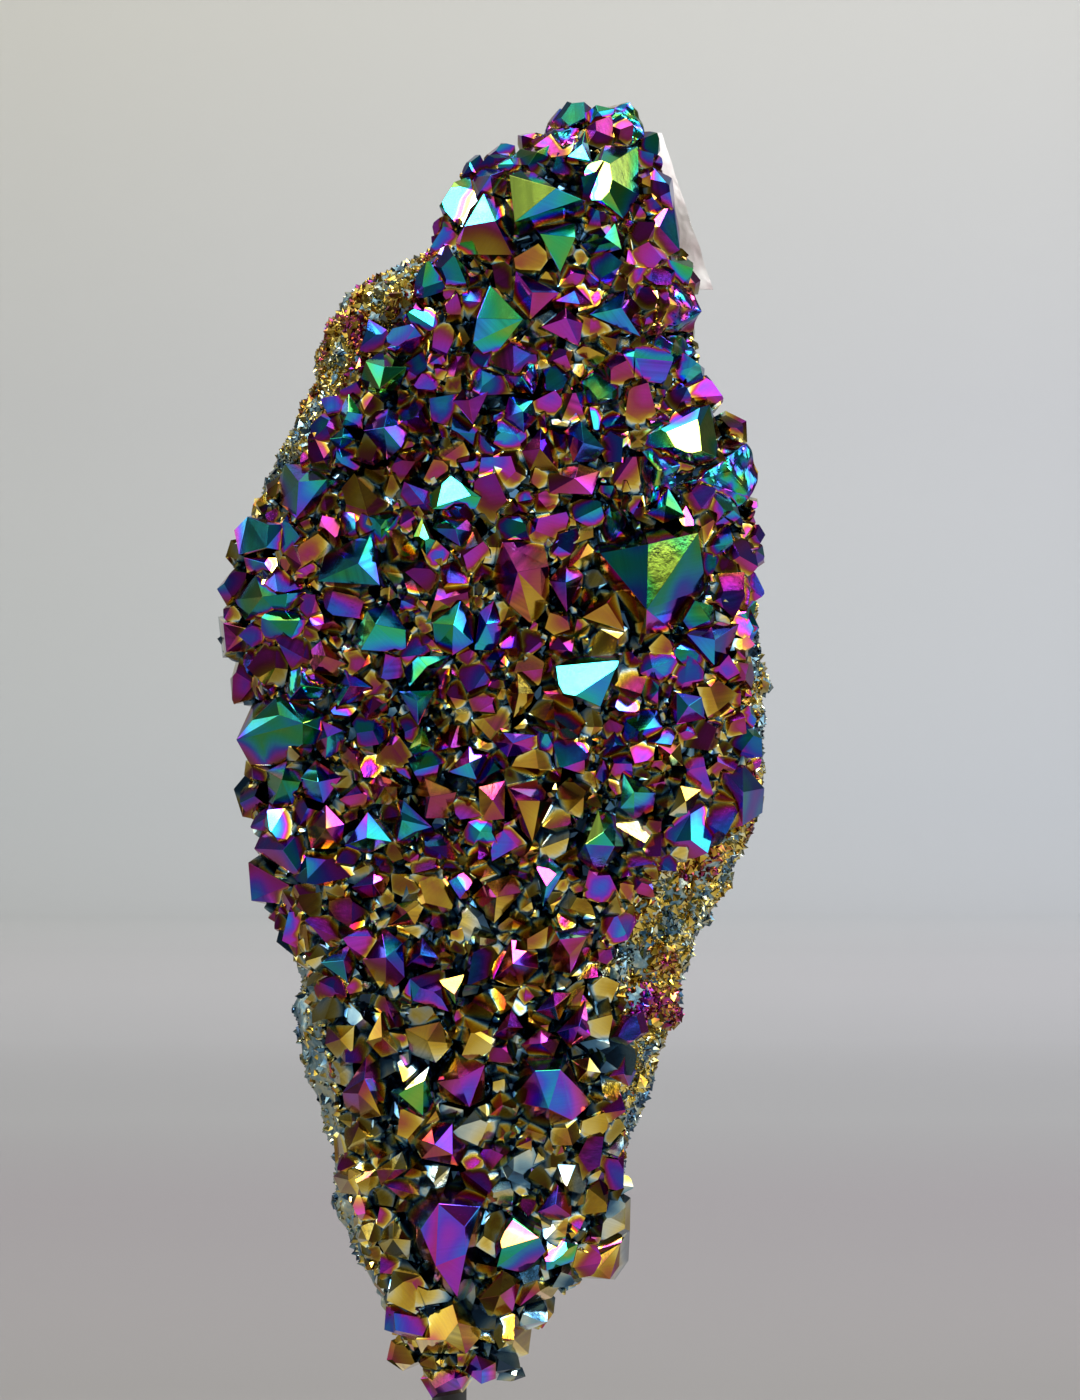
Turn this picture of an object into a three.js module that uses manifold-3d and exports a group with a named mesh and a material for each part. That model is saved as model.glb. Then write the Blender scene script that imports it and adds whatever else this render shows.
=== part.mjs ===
// A cluster of aura quartz on its stand. The crystals are coated with a rainbow film of titanium
// and grew together over one face of their rock, which is pinned on a black steel post and foot.
// Millimetres, +Z up. The origin is the centre of the foot plate's underside, the crystals face -Y.

import * as THREE from "three";
import { ConvexGeometry } from "three/addons/geometries/ConvexGeometry.js";
import { mergeVertices } from "three/addons/utils/BufferGeometryUtils.js";
import Module from "manifold-3d";

const wasm = await Module();
wasm.setup();

// Driving dimensions of the stand.
const PLATE_WIDTH = 112;
const PLATE_DEPTH = 84;
const PLATE_THICK = 8;
const PLATE_CORNER = 6;
const PLATE_CORNER_STEPS = 4;
const PLATE_EDGE = 0.8;
const POST_X = -10.4;
const POST_RADIUS = 3.5;
const POST_SIDES = 20;
const POST_IN_PLATE = 4;
const POST_IN_ROCK = 22;
const GAP = 0.3;

// The cluster has a frame of its own: x = 0 on its middle line, z = 0 at its lowest crystal.
const CLUSTER_Z = 66;

// The rock, station by station up its height: z, then its left and right edge, its front and its
// back, and the left and right end of the crystals on it. Past those ends its rim lies bare.
const ROCK = [
  [3, -15, 2, -9, 8, -15, 2],
  [8, -19, 5, -12, 9, -19, 6],
  [14, -23.5, 6, -14, 10, -22, 7],
  [20, -27, 12, -15, 11, -24, 14],
  [25, -30, 20, -16, 12, -27, 22],
  [32, -33, 23, -17, 13, -29, 24],
  [40, -34, 24.5, -18.5, 14, -31, 24],
  [50, -35, 26, -19.5, 15, -32, 24],
  [58, -37.5, 29.5, -20.5, 16, -33, 22],
  [66, -39.5, 32, -21.5, 16, -35, 27],
  [74, -42, 36, -22, 17, -37, 25],
  [82, -40.5, 38, -23, 17, -38, 22],
  [90, -42, 40.5, -24, 18, -42, 21],
  [98, -46.5, 45, -25, 18, -47, 27],
  [106, -47, 49, -26, 18, -49, 33],
  [114, -47, 52, -27, 18, -49, 46],
  [124, -48, 53, -28, 18, -50, 51],
  [136, -49, 54, -29, 17, -51, 49],
  [148, -51, 52.5, -30, 17, -54, 49],
  [160, -51, 50, -30, 16, -54, 50],
  [170, -49, 48.5, -30, 15, -52, 51],
  [180, -47.5, 48, -30, 14, -46, 51],
  [188, -44.5, 46, -29.5, 12, -37, 50],
  [194, -41.5, 41, -29.5, 11, -34, 43],
  [200, -38, 38.5, -29, 9, -31, 41],
  [208, -36, 36.5, -28.5, 8, -22, 39],
  [214, -34.5, 36.5, -28, 7, -18, 39],
  [220, -29.5, 36, -28, 5, -15, 39],
  [225, -20, 35, -28, 4, -12, 38],
  [230, -11, 33, -27.5, 3, -12, 35],
  [238, -9, 32, -27, 1, -11, 34],
  [243, -4.5, 30.5, -25.5, -1, -8, 33],
  [247, 5, 28.5, -24, -4, 2, 31],
  [251, 10, 26.5, -21, -7, 8, 29],
  [254, 14, 24, -18, -10, 12, 27],
];
const ROCK_SIDES = 16;
const ROCK_RINGS = 21;
const ROCK_ROUNDNESS = 2.6;
const RIM_SHARE = 0.55;
const LUMP = 2.2;

// The biggest crystals, from the top down: how far the point rises over its shoulder,
// the ridge or tip of the point as x, z pairs, and the shoulder's corners as x, z pairs.
const BIG_CRYSTALS = [
  [2.5, [[19.6, 255.1]], [[16.2, 254.2], [19.2, 256.6], [22.9, 255.9], [22.1, 252.5], [17.5, 252]]],
  [3, [[24.2, 254.7]],
    [[22.1, 253.4], [22.9, 256.5], [25.9, 257.2], [28.4, 254], [29.1, 250.4], [25.9, 248.8]]],
  [3, [[11.6, 250.9]], [[7.4, 249.2], [9.9, 252.5], [15.8, 251.7], [16.2, 249.2], [12.4, 248]]],
  [3, [[7.4, 246.7]], [[1.1, 245], [4, 247.9], [9.9, 248.3], [11.2, 245.4], [5.7, 244.1]]],
  [3, [[16.2, 247.1]], [[13.5, 245.8], [17, 251.3], [18.4, 244.3]]],
  [5, [[19.6, 242.6]],
    [[17.9, 244.1], [21, 248.3], [27.6, 248.3], [27.8, 238.4], [24.6, 233.6], [19.2, 237.8]]],
  [3.5, [[-1.9, 242]], [[-5.7, 242.4], [-3.2, 244.1], [0.8, 243.1], [0, 240.1], [-4.8, 237.6]]],
  [4, [[-10.7, 238.1]],
    [[-12.2, 236.5], [-9.2, 241.3], [-6.1, 242.6], [-5.1, 237.8], [-6.8, 231.9], [-11.4, 234.6]]],
  [6.5, [[11.1, 238.9], [3, 232.3]],
    [[0.8, 238.2], [1.9, 242], [5.3, 244], [16.2, 237], [17.2, 234], [13.1, 232], [4, 230]]],
  [4.5, [[8, 230], [15, 229.3]],
    [[6.9, 231.7], [11.6, 233.3], [14.8, 232.3], [15.8, 228], [12, 222.6], [8.6, 226.4]]],
  [5, [[-7, 231.8], [-0.9, 232.6]],
    [[-3.2, 238.4], [-6, 235.7], [-8.8, 229], [-8.5, 226.4], [1.5, 223.2], [2.5, 226], [0.5, 237.4]]],
  [4, [[20.8, 229.4]],
    [[16.2, 228.1], [17.9, 231.1], [22.9, 232.3], [25.2, 229.8], [24.2, 227.3], [18.3, 225.8]]],
  [4, [[31.8, 232]], [[29.4, 231.9], [34.6, 238], [36, 232], [36, 227.7], [32.6, 225.6], [29.7, 229]]],
  [3.5, [[6.5, 218.4]], [[3.2, 222.8], [11.7, 218.5], [10, 215], [5.9, 213], [2.5, 215.5]]],
  [4.5, [[-4.5, 213.2], [4.6, 213]],
    [[-1.9, 219.9], [-6.1, 213.8], [-5.3, 208.5], [-1.9, 205], [6.3, 213], [2.7, 217.2]]],
  [2.5, [[13.2, 213.4]], [[8.2, 211.7], [13.1, 215.5], [16.5, 212.5], [15.8, 207.9]]],
  [4, [[24.2, 215.5]], [[17.9, 214.2], [21.7, 218.4], [24.9, 219], [28.4, 215.5], [28, 210], [22.9, 211]]],
  [5, [[33.9, 216.5]],
    [[29.7, 217.6], [33.1, 221.8], [38.1, 220.5], [40.2, 215.5], [38.5, 211.7], [31.4, 210.6]]],
  [3.5, [[34.3, 208.6]],
    [[29.1, 207.9], [31.4, 210.7], [36.8, 210.4], [39.4, 207.2], [33.5, 203.6], [29.7, 205.2]]],
  [3, [[4.4, 201.6]], [[1.1, 202], [2.3, 204.1], [6.5, 204.1], [8, 201.2], [6.5, 198.5], [1.9, 198.7]]],
  [4.5, [[-22.9, 203.7], [-23.8, 199.4]],
    [[-28, 200.3], [-26.7, 205], [-23.2, 207.3], [-18.5, 203.7], [-20, 199], [-23.8, 197.3]]],
  [3, [[-30.1, 194.9]], [[-32.2, 194.9], [-30.1, 198.5], [-27.3, 194.4], [-27.3, 191.5], [-31.4, 192.3]]],
  [4.5, [[-22.9, 191.6]],
    [[-27, 191.1], [-25.9, 194.9], [-22.1, 195.4], [-17.3, 192.6], [-19.6, 187.7], [-22.4, 185.4]]],
  [2.5, [[-31.3, 189.8]], [[-33.9, 189.6], [-31, 191.9], [-28.8, 189.4], [-32.2, 187.1]]],
  [3, [[-6.1, 197]], [[-9.1, 197], [-7.4, 199.5], [-2.3, 198.7], [-3.4, 195.3], [-5.3, 192.3]]],
  [3, [[4.6, 194.8]], [[0.6, 193.6], [1.9, 197.8], [6.5, 197], [7.4, 193.6], [4.8, 190.7]]],
  [3.5, [[8, 187.4]], [[4.4, 186.9], [8.2, 191.5], [11.6, 187], [11.6, 183.1], [6, 183.1]]],
  [3.5, [[16.6, 188.6]], [[12.8, 191.1], [16.2, 192.8], [20.8, 187.5], [19, 185], [14.6, 184.8]]],
  [3, [[14.9, 181.5]], [[9.5, 183], [15.8, 184.4], [20, 183.1], [18.3, 178.4], [9.9, 178.7]]],
  [5, [[31.4, 183.1]],
    [[28, 181.8], [28.4, 186.9], [31.8, 188.7], [35.6, 184.3], [34.3, 178.4], [30.1, 177.2]]],
  [5.5, [[40, 196], [38, 188]],
    [[32, 191.5], [36, 196.5], [42, 196.8], [45.4, 188], [44, 185.9], [37.3, 186.4]]],
  [5, [[46, 183.3]],
    [[39.2, 181.4], [42.7, 185.2], [49.6, 189.2], [52, 183.5], [50.3, 178], [45.9, 175.6], [42.3, 178.4]]],
  [3, [[33, 176.3]], [[29.3, 174.6], [33.5, 179.7], [36.8, 174.4], [32.6, 172.8]]],
  [5.5, [[-40, 181]],
    [[-44.4, 181.4], [-43, 184.8], [-37.3, 184.5], [-34.5, 181.4],
      [-35.6, 176.8], [-40.6, 173.8], [-44.2, 177]]],
  [1.5, [[-8.2, 178.6]], [[-14.4, 178], [-9.7, 182], [-3.7, 177.8], [-4.8, 175.5], [-13.3, 175.5]]],
  [2.5, [[-14.8, 170]], [[-17.1, 170], [-15.4, 173.8], [-12.8, 169.2], [-14.5, 166.2]]],
  [3, [[-8.7, 171.5]], [[-13.3, 171.7], [-12, 174.2], [-6.5, 173.4], [-4.4, 170.9], [-7.8, 168.1]]],
  [4.5, [[-46.3, 172.6], [-46.7, 168]],
    [[-53.5, 171.7], [-50.7, 174.4], [-42.7, 172.7], [-42.5, 167.3], [-52.4, 166.8]]],
  [1, [[-46.5, 164.8]], [[-51.5, 166.2], [-42.7, 166], [-42.3, 162.4], [-50.7, 162.8]]],
  [4, [[-47.4, 158.2]], [[-53.4, 157.8], [-49, 162.6], [-42.3, 158.8], [-43.2, 153.6], [-51.2, 153.6]]],
  [5.5, [[-28, 164.6]],
    [[-36.2, 161.2], [-34.7, 167.3], [-25.6, 170.6], [-24, 165], [-23.8, 160.4], [-32.2, 159.8]]],
  [5.5, [[3.6, 162.9]],
    [[-1.9, 161.2], [0.6, 168.8], [8.6, 169.2], [9.7, 164.1], [9.9, 156.5], [6.5, 152.5], [1.9, 156.5]]],
  [4, [[13.1, 160.9]], [[9.8, 161.2], [13.3, 166.2], [16.6, 162.4], [16.2, 158.6], [13.3, 155.1]]],
  [7.5, [[29.4, 168.4], [29.1, 155.5]],
    [[20, 166.7], [24.2, 170.2], [29.7, 173], [39.5, 170.9], [41.1, 160],
      [35.2, 150.8], [29, 150.8], [23, 158], [20.2, 162.4]]],
  [3.5, [[21.3, 156.8]], [[16.5, 154], [19.6, 159.7], [23.2, 159.3], [24.8, 151.3], [20.4, 150.8]]],
  [4, [[-24.6, 152.6]],
    [[-29.5, 149.4], [-26.3, 155.3], [-22.1, 157], [-18.7, 151.5], [-18.6, 146.9], [-27.6, 147.6]]],
  [3.5, [[-9.1, 152.4]],
    [[-13.3, 152.8], [-7.8, 157.2], [-4.8, 154], [-5.3, 149], [-9.5, 146.4], [-12.8, 148.1]]],
  [3, [[-2.6, 152.6]], [[-4, 155], [-1.1, 157.4], [0.6, 153.2], [-0.6, 147.3], [-5, 147.6]]],
  [3, [[-52.8, 150.4]], [[-55.6, 153], [-53, 153.6], [-49.1, 151.5], [-49.9, 147.3], [-55, 147.3]]],
  [5, [[12.8, 139.4], [23.4, 145]],
    [[11.2, 144.3], [16.2, 147.1], [24.2, 146.6], [23.5, 139.7], [20, 136.3], [13.9, 137]]],
  [4, [[42.8, 149.6]],
    [[37.3, 150.7], [41.9, 153.4], [47.8, 152.8], [45.7, 146.4], [42.7, 144.6], [37.7, 147.7]]],
  [2.5, [[49, 155.4]], [[46.5, 155.3], [48.2, 157.8], [51.6, 157.4], [50.3, 152.3]]],
  [3, [[-34.6, 146.3]], [[-38.5, 146.9], [-35.6, 149.4], [-30.5, 144.8], [-32.2, 142.2], [-37.3, 143]]],
  [3.5, [[-29.7, 140.4]], [[-33.5, 139.7], [-30.9, 143.7], [-25.5, 140.1], [-27.2, 137.4], [-32.2, 136.4]]],
  [3, [[-14.4, 144.3]], [[-19.2, 143.5], [-16.2, 146.2], [-9.9, 146.4], [-12.4, 142.5], [-17.9, 140.3]]],
  [3.5, [[-16.3, 137.4]], [[-20, 139.3], [-13, 139.5], [-14.4, 134.6], [-16.2, 132.6], [-18.9, 136]]],
  [3.5, [[-39.4, 140.5]], [[-43.6, 141.4], [-39.8, 144.6], [-34.7, 139.9], [-37.3, 136.5], [-42.7, 136.9]]],
  [5.5, [[-49.6, 133.6], [-44, 134.6], [-39.2, 133]],
    [[-53, 129.6], [-49.8, 137], [-44.8, 138], [-38.2, 134.4],
      [-39.4, 128.8], [-44.8, 124.6], [-50.4, 124.6]]],
  [3.5, [[-34.3, 130.2]], [[-37.7, 129.2], [-35.6, 133.6], [-31.2, 131.5], [-30.7, 128.4], [-34.7, 125.8]]],
  [3, [[3.8, 138.9]], [[1.1, 138.9], [3.6, 142.9], [6.9, 138.9], [5.7, 135.3], [2.8, 134.2]]],
  [3, [[37.5, 136.4]], [[33.7, 136.3], [35.2, 139.1], [40.2, 138.2], [41.1, 133.8], [35.2, 132.8]]],
  [2.5, [[2.6, 129]], [[-1.5, 129.4], [0.6, 131.1], [7.4, 130.6], [8.2, 127.3], [1.5, 126.3]]],
  [2.5, [[-15.6, 129]], [[-18.2, 127.7], [-15.4, 132.3], [-13.6, 128.2], [-15.9, 125.8]]],
  [4, [[-43.6, 121.6]], [[-46.9, 123.3], [-42.7, 125.4], [-39.9, 121.2], [-41.6, 116.6], [-46.3, 115.3]]],
  [3.5, [[-36.2, 121.3]], [[-39.8, 122], [-36.8, 125.6], [-31.6, 122.2], [-35.2, 117], [-39, 118.3]]],
  [3, [[-6, 125.2]], [[-10.3, 123.3], [-6.1, 128.3], [-1.9, 127.1], [-4.6, 121.8]]],
  [3, [[34, 126.8]], [[31.4, 128.7], [36, 129.1], [36.4, 124.5], [31.8, 124.8]]],
  [3.5, [[-22.8, 120.4]], [[-26.5, 120.8], [-23.8, 123.1], [-19.4, 120.3], [-20.9, 116.6], [-24.8, 117]]],
  [4, [[-13.8, 118.4]], [[-17.9, 118.7], [-14.9, 122], [-8.6, 119.3], [-10.1, 114.1], [-14.7, 114.1]]],
  [1.5, [[-1.4, 117.6]], [[-4.2, 120.3], [1.1, 121.6], [0.9, 114], [-3.9, 113.4]]],
  [4.5, [[3.4, 117.7], [8, 117.6]],
    [[1.6, 120.3], [7.4, 121.8], [10.5, 117.4], [6.5, 109.4], [1.7, 114.5]]],
  [4, [[26.7, 119.3]], [[24, 116.2], [24.6, 122.9], [31, 119.1], [30.5, 115.5], [26.7, 113.8]]],
  [5, [[17, 109], [22.8, 108.6], [20.6, 111.4]],
    [[14.7, 109.8], [19.6, 115.6], [23.4, 114.6], [24.6, 108.5], [19.6, 102.3], [15.4, 106.5]]],
  [4, [[-34.6, 112]], [[-38.9, 112.8], [-34.7, 116.7], [-31, 112.8], [-31.8, 107.9], [-37.7, 107.9]]],
  [3.5, [[-26.5, 110.2]], [[-31, 108.6], [-26.3, 115.3], [-21.5, 109.4], [-26.3, 106.9]]],
  [4.5, [[-43.4, 107.6]],
    [[-49.5, 107.7], [-47.4, 112.5], [-41.1, 110.2], [-37.7, 105.2], [-38.9, 101.2], [-46, 103.5]]],
  [4, [[-47.3, 101.4]], [[-50.7, 104.9], [-47.4, 105.4], [-42.3, 100.5], [-43.2, 96.6], [-50.1, 97.2]]],
  [4.5, [[48.6, 119.2]],
    [[45.1, 122.9], [48.6, 124.9], [53.1, 119.9], [52.8, 114.9], [48.6, 112.4], [46.1, 116.6]]],
  [2.5, [[37, 117.4]], [[33.7, 114.7], [36, 120.5], [40.2, 119.7], [37.5, 113.6]]],
  [3, [[-25.2, 101]], [[-29.5, 100.3], [-25, 103.7], [-21.5, 102.7], [-23.6, 98.6], [-27.4, 98]]],
  [3, [[-18.4, 95.4]], [[-22.7, 92.3], [-20.4, 97], [-14.3, 98.2], [-16.9, 92.8]]],
  [4, [[-0.6, 98.4]], [[-5.5, 98.4], [-2.7, 101.2], [2.7, 102.9], [4.2, 99.3], [-1.1, 93.2], [-4.6, 95.5]]],
  [3, [[9.6, 102.4]], [[7.4, 104.3], [9.9, 106.2], [12.7, 103.5], [8.6, 96.5]]],
  [3, [[-41, 90]], [[-44, 91.7], [-38.9, 92.7], [-38.3, 86.9], [-43.2, 87.1]]],
  [3, [[-31.2, 85.6]], [[-36, 85], [-29.7, 89], [-28.6, 85], [-30.5, 81.2]]],
  [5, [[-22.6, 86.4]],
    [[-27.4, 85.8], [-23.8, 92.7], [-19.4, 89.2], [-19, 82.4], [-22.9, 78.3], [-26.9, 82]]],
  [3.5, [[-15.8, 86.9]], [[-19.2, 87.3], [-15.4, 90.2], [-12.2, 86.2], [-13.9, 83.5], [-18.8, 84.4]]],
  [4.5, [[2.6, 85.2]], [[-1.7, 84.5], [2.3, 89.8], [7.4, 89.4], [7.6, 84.1], [4, 79.7], [-1.3, 82]]],
  [4.5, [[11.9, 90], [17.3, 90.6], [13.9, 86.9]],
    [[8.4, 87.5], [11, 91.5], [18.7, 91.9], [18.1, 86.5], [14.1, 83.1], [9.5, 83.8]]],
  [2, [[-9.2, 80.6]], [[-12, 81.6], [-7.2, 82.8], [-8.9, 77]]],
  [3, [[11, 76.6]], [[7.2, 75.5], [10.7, 79.3], [14.3, 79.1], [11.8, 73.6]]],
  [3.5, [[15.8, 72.6]], [[11.4, 71.3], [17.1, 77.2], [18.1, 70.7], [14.1, 67.9]]],
  [3, [[1.6, 72.5]], [[-1.3, 70.7], [2.3, 75.9], [4.6, 72.3], [1.5, 69.4]]],
  [3, [[8.1, 69.2]], [[4.2, 68.8], [8.2, 71.9], [12.2, 70.2], [10.7, 66.5], [6.3, 66]]],
  [3.5, [[-32, 69.8]], [[-35.1, 68.6], [-34.7, 72.5], [-29.1, 72.5], [-29.5, 66.9], [-31.6, 64.4]]],
  [3, [[-23.5, 70.4]], [[-26.7, 69.4], [-23.8, 75.1], [-20.4, 67.3], [-23.6, 66.1]]],
  [2.5, [[-14.4, 69.6]], [[-18.9, 71.9], [-12, 73.4], [-9.3, 69], [-12.8, 65.2], [-17.9, 66.9]]],
  [4.5, [[-27, 62], [-28.3, 59]],
    [[-31.6, 58.9], [-26.7, 66.2], [-22.3, 62.2], [-23.8, 54.5], [-28, 53.4], [-31.2, 55.9]]],
  [4, [[-20.2, 59], [-15.2, 62.6]],
    [[-21.9, 59.3], [-14.1, 64.5], [-12.8, 56.3], [-15.4, 54.7], [-20.4, 55.9]]],
  [4.5, [[-8.2, 62.2]], [[-12.6, 61.4], [-9, 67.7], [-3, 64.8], [-3, 57.8], [-6.1, 56.4], [-11.6, 57.7]]],
  [5.5, [[7, 63.8], [12.1, 64], [9.7, 56.2]],
    [[2.1, 57.3], [5.2, 64.6], [13.3, 65.3], [18.5, 57], [14.5, 53.6], [9.9, 51.8], [5.7, 53.2]]],
  [3, [[17.4, 63.6]], [[14.3, 65.6], [17.9, 66.2], [20.2, 63.1], [18.3, 60.6], [15.6, 61.4]]],
  [3, [[24.8, 62.8]], [[21.9, 62.2], [25, 66.2], [27.4, 63.1], [25.9, 60.1]]],
  [4.5, [[-13, 49], [-9.4, 47]],
    [[-18.1, 50.2], [-14, 53.4], [-9.5, 53], [-5.9, 48.8], [-8.4, 44.6], [-15.6, 46]]],
  [3.5, [[-30.5, 41.4]], [[-33.7, 41.6], [-30.5, 44.7], [-27.8, 42.9], [-28.6, 38.3], [-32.2, 38.3]]],
  [3, [[-21.3, 43.8]], [[-24.8, 43.5], [-19.6, 47.3], [-18.5, 43.7], [-23.8, 39.9]]],
  [3, [[11.1, 36.8]], [[7.6, 35.1], [11.6, 40.5], [14.3, 38], [14.3, 34.2], [10.7, 32.8]]],
  [6, [[-15.8, 32], [-12.2, 37.2], [-7, 32.6], [-6.8, 27], [-12.8, 24.6]],
    [[-17.7, 33], [-14.5, 38.9], [-9.5, 40.1], [-4, 36.3], [-3.5, 30],
      [-4.8, 22.9], [-8.6, 18.1], [-13.5, 20.6], [-17.7, 27.1]]],
  [4.5, [[0.8, 29.7], [7.8, 30.2]],
    [[2.7, 34], [8.8, 32.1], [9.1, 27.1], [4.8, 22.6], [-0.6, 24.1], [-2.1, 27.5]]],
  [1.5, [[12, 26.8]], [[8.9, 29.8], [15.6, 28.3], [14.7, 24.8], [9.3, 23.1]]],
  [3.5, [[21.2, 28.3]], [[17.3, 26.9], [21.3, 33], [25.3, 31.7], [24.4, 28.3], [19.6, 22.9]]],
  [3.5, [[19.8, 23.2]], [[13.9, 22.3], [18.3, 25.4], [24.2, 28], [24, 23.3], [22.1, 20.8], [15, 21]]],
  [3.5, [[-21.4, 29.8]], [[-25.2, 29.6], [-21.3, 33.4], [-17.9, 29.4], [-18.3, 25.2], [-23.2, 26.7]]],
  [3, [[8, 19]], [[2.7, 16.8], [7.4, 21.2], [13.3, 21.2], [10.4, 17], [4, 15.9]]],
  [3.5, [[0, 18.4]], [[-4.2, 17.6], [0.6, 23.3], [4.2, 21], [2.5, 14.9], [-1.9, 13]]],
  [4.5, [[-8.4, 13], [-11, 9.4]],
    [[-17, 9], [-14, 14.2], [-9.5, 16.5], [-5.7, 14.4], [-2.7, 11], [-6.9, 6.3], [-16, 5.8]]],
  [4, [[2.8, 9.2]], [[-0.8, 8.3], [3, 14], [6.5, 11.9], [5.7, 5.6], [1.5, 3.9]]],
  [3, [[-3.7, 2.9]], [[-7.2, 2.5], [-4.8, 6], [-0.9, 4.3], [-0.9, 0.8], [-3.8, 0]]],
];
const SHOULDER = 3;
const BIG_SINK = 9;
const BIG_TAPER = 0.8;

// Quartz's own angle: the faces of a crystal's point stand this far from its long axis.
const FACE_SLOPE = THREE.MathUtils.degToRad(38.2);

const SMALL_SINK = 1.2;

// The smaller crystals stand in rows between the big ones, each a little out of line. A row is
// longer over the rock's bulge than straight across, so its crystals crowd towards its ends.
const LOWEST_ROW = 9;
const HIGHEST_ROW = 250;
const ROW_STEP = 14;
const COLUMN_STEP = 12.5;
const JITTER = 0.34;
const BULGE = 1.25;
const FLANK_TURN = 1.41;
const SMALLEST = 3;
const LARGEST = 4.6;
const MOST_LEAN = 0.75;
const CLEAR_OF_BIG = 0.82;

// The paper label glued on the rock's back flank, free along its outer edge.
const LABEL_TOP = 251.5;
const LABEL_BOTTOM = 221;
const LABEL_THICK = 0.4;
const LABEL_EDGE_TOP = [32, -4];
const LABEL_EDGE_BOTTOM = [42.6, -1];
const LABEL_GLUED = [0.5, 0.75, 1.0, 1.25];
const LABEL_ROWS = 6;
const LABEL_KINK = 0.8;
const LABEL_WAVES = 1.5;
const LABEL_CLEAR = [0.6, 2.03];

// Park and Miller's number sequence, so that the crystals grow alike each time.
let seed = 20261;
function random(low, high) {
  seed = (seed * 16807) % 2147483647;
  return low + (high - low) * (seed / 2147483647);
}

// The rock's edges and faces at a height, between the two stations around it.
function stationAt(z) {
  const level = Math.min(Math.max(z, ROCK[0][0]), ROCK[ROCK.length - 1][0]);
  let upper = 1;
  while (ROCK[upper][0] < level) upper += 1;
  const share = (level - ROCK[upper - 1][0]) / (ROCK[upper][0] - ROCK[upper - 1][0]);
  const values = ROCK[upper].map((value, i) => THREE.MathUtils.lerp(ROCK[upper - 1][i], value, share));
  const [, left, right, front, back, fieldLeft, fieldRight] = values;
  const rim = front + RIM_SHARE * (back - front);
  return { middle: (left + right) / 2, half: (right - left) / 2, front, back, rim, fieldLeft, fieldRight };
}

// A power that keeps its number's sign.
function signedPower(value, power) {
  return Math.sign(value) * Math.abs(value) ** power;
}

// A point on the rock at a height and an angle around it: 0 is its right rim, a quarter turn its
// back. The rim and the back are lumpy, and the front is smooth under its crystals.
function rockPoint(angle, z) {
  const { middle, half, front, back, rim } = stationAt(z);
  const across = signedPower(Math.cos(angle), 2 / ROCK_ROUNDNESS);
  const along = signedPower(Math.sin(angle), 2 / ROCK_ROUNDNESS);
  const broadLumps = Math.sin(3 * angle + 0.16 * z) * Math.cos(2 * angle - 0.11 * z);
  const closeLumps = 0.5 * Math.sin(5 * angle - 0.31 * z);
  const swell = LUMP * (broadLumps + closeLumps) * Math.max(0, along + 0.35);
  const x = middle + (half + 0.6 * swell) * across;
  const y = rim + (along < 0 ? rim - front : back - rim + swell) * along;
  return new THREE.Vector3(x, y, z);
}

// The rock's front at a place in its outline.
function frontPoint(x, z) {
  const { middle, half, front, rim } = stationAt(z);
  const across = Math.min(Math.abs(x - middle) / half, 0.985);
  const depth = (1 - across ** ROCK_ROUNDNESS) ** (1 / ROCK_ROUNDNESS);
  return new THREE.Vector3(x, rim - (rim - front) * depth, z);
}

// The way the rock's front faces there.
function frontNormal(x, z) {
  const step = 1.5;
  const across = frontPoint(x + step, z).sub(frontPoint(x - step, z));
  const up = frontPoint(x, z + step).sub(frontPoint(x, z - step));
  return across.cross(up).normalize();
}

// A closed solid from a geometry whose corners are shared.
function solidFrom(geometry) {
  geometry.deleteAttribute("normal");
  geometry.deleteAttribute("uv");
  const merged = mergeVertices(geometry, 1e-4);
  const mesh = new wasm.Mesh({
    numProp: 3,
    vertProperties: new Float32Array(merged.attributes.position.array),
    triVerts: new Uint32Array(merged.index.array),
  });
  return new wasm.Manifold(mesh);
}

// A geometry for a mesh from a solid.
function geometryFrom(solid) {
  const mesh = solid.getMesh();
  const geometry = new THREE.BufferGeometry();
  geometry.setAttribute("position", new THREE.BufferAttribute(mesh.vertProperties, 3));
  geometry.setIndex(new THREE.BufferAttribute(mesh.triVerts, 1));
  geometry.computeVertexNormals();
  return geometry;
}

// The outer skin of a solid alone, which fills the hollows sealed in between its crystals.
function outerSkin(geometry) {
  const { position } = geometry.attributes;
  const index = geometry.index.array;
  const group = Array.from({ length: position.count }, (_, i) => i);
  const leader = (i) => {
    while (group[i] !== i) i = group[i] = group[group[i]];
    return i;
  };
  for (let i = 0; i < index.length; i += 3) {
    group[leader(index[i])] = leader(index[i + 1]);
    group[leader(index[i + 1])] = leader(index[i + 2]);
  }
  const sizes = new Map();
  for (const corner of index) sizes.set(leader(corner), (sizes.get(leader(corner)) ?? 0) + 1);
  const largest = [...sizes.entries()].sort((a, b) => b[1] - a[1])[0][0];
  geometry.setIndex([...index].filter((corner) => leader(corner) === largest));
  return geometry;
}

// A round bar along Z between two heights.
function bar(radius, x, bottom, top) {
  const geometry = new THREE.CylinderGeometry(radius, radius, top - bottom, POST_SIDES);
  geometry.rotateX(Math.PI / 2);
  geometry.translate(x, 0, (top + bottom) / 2);
  return geometry;
}

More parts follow.
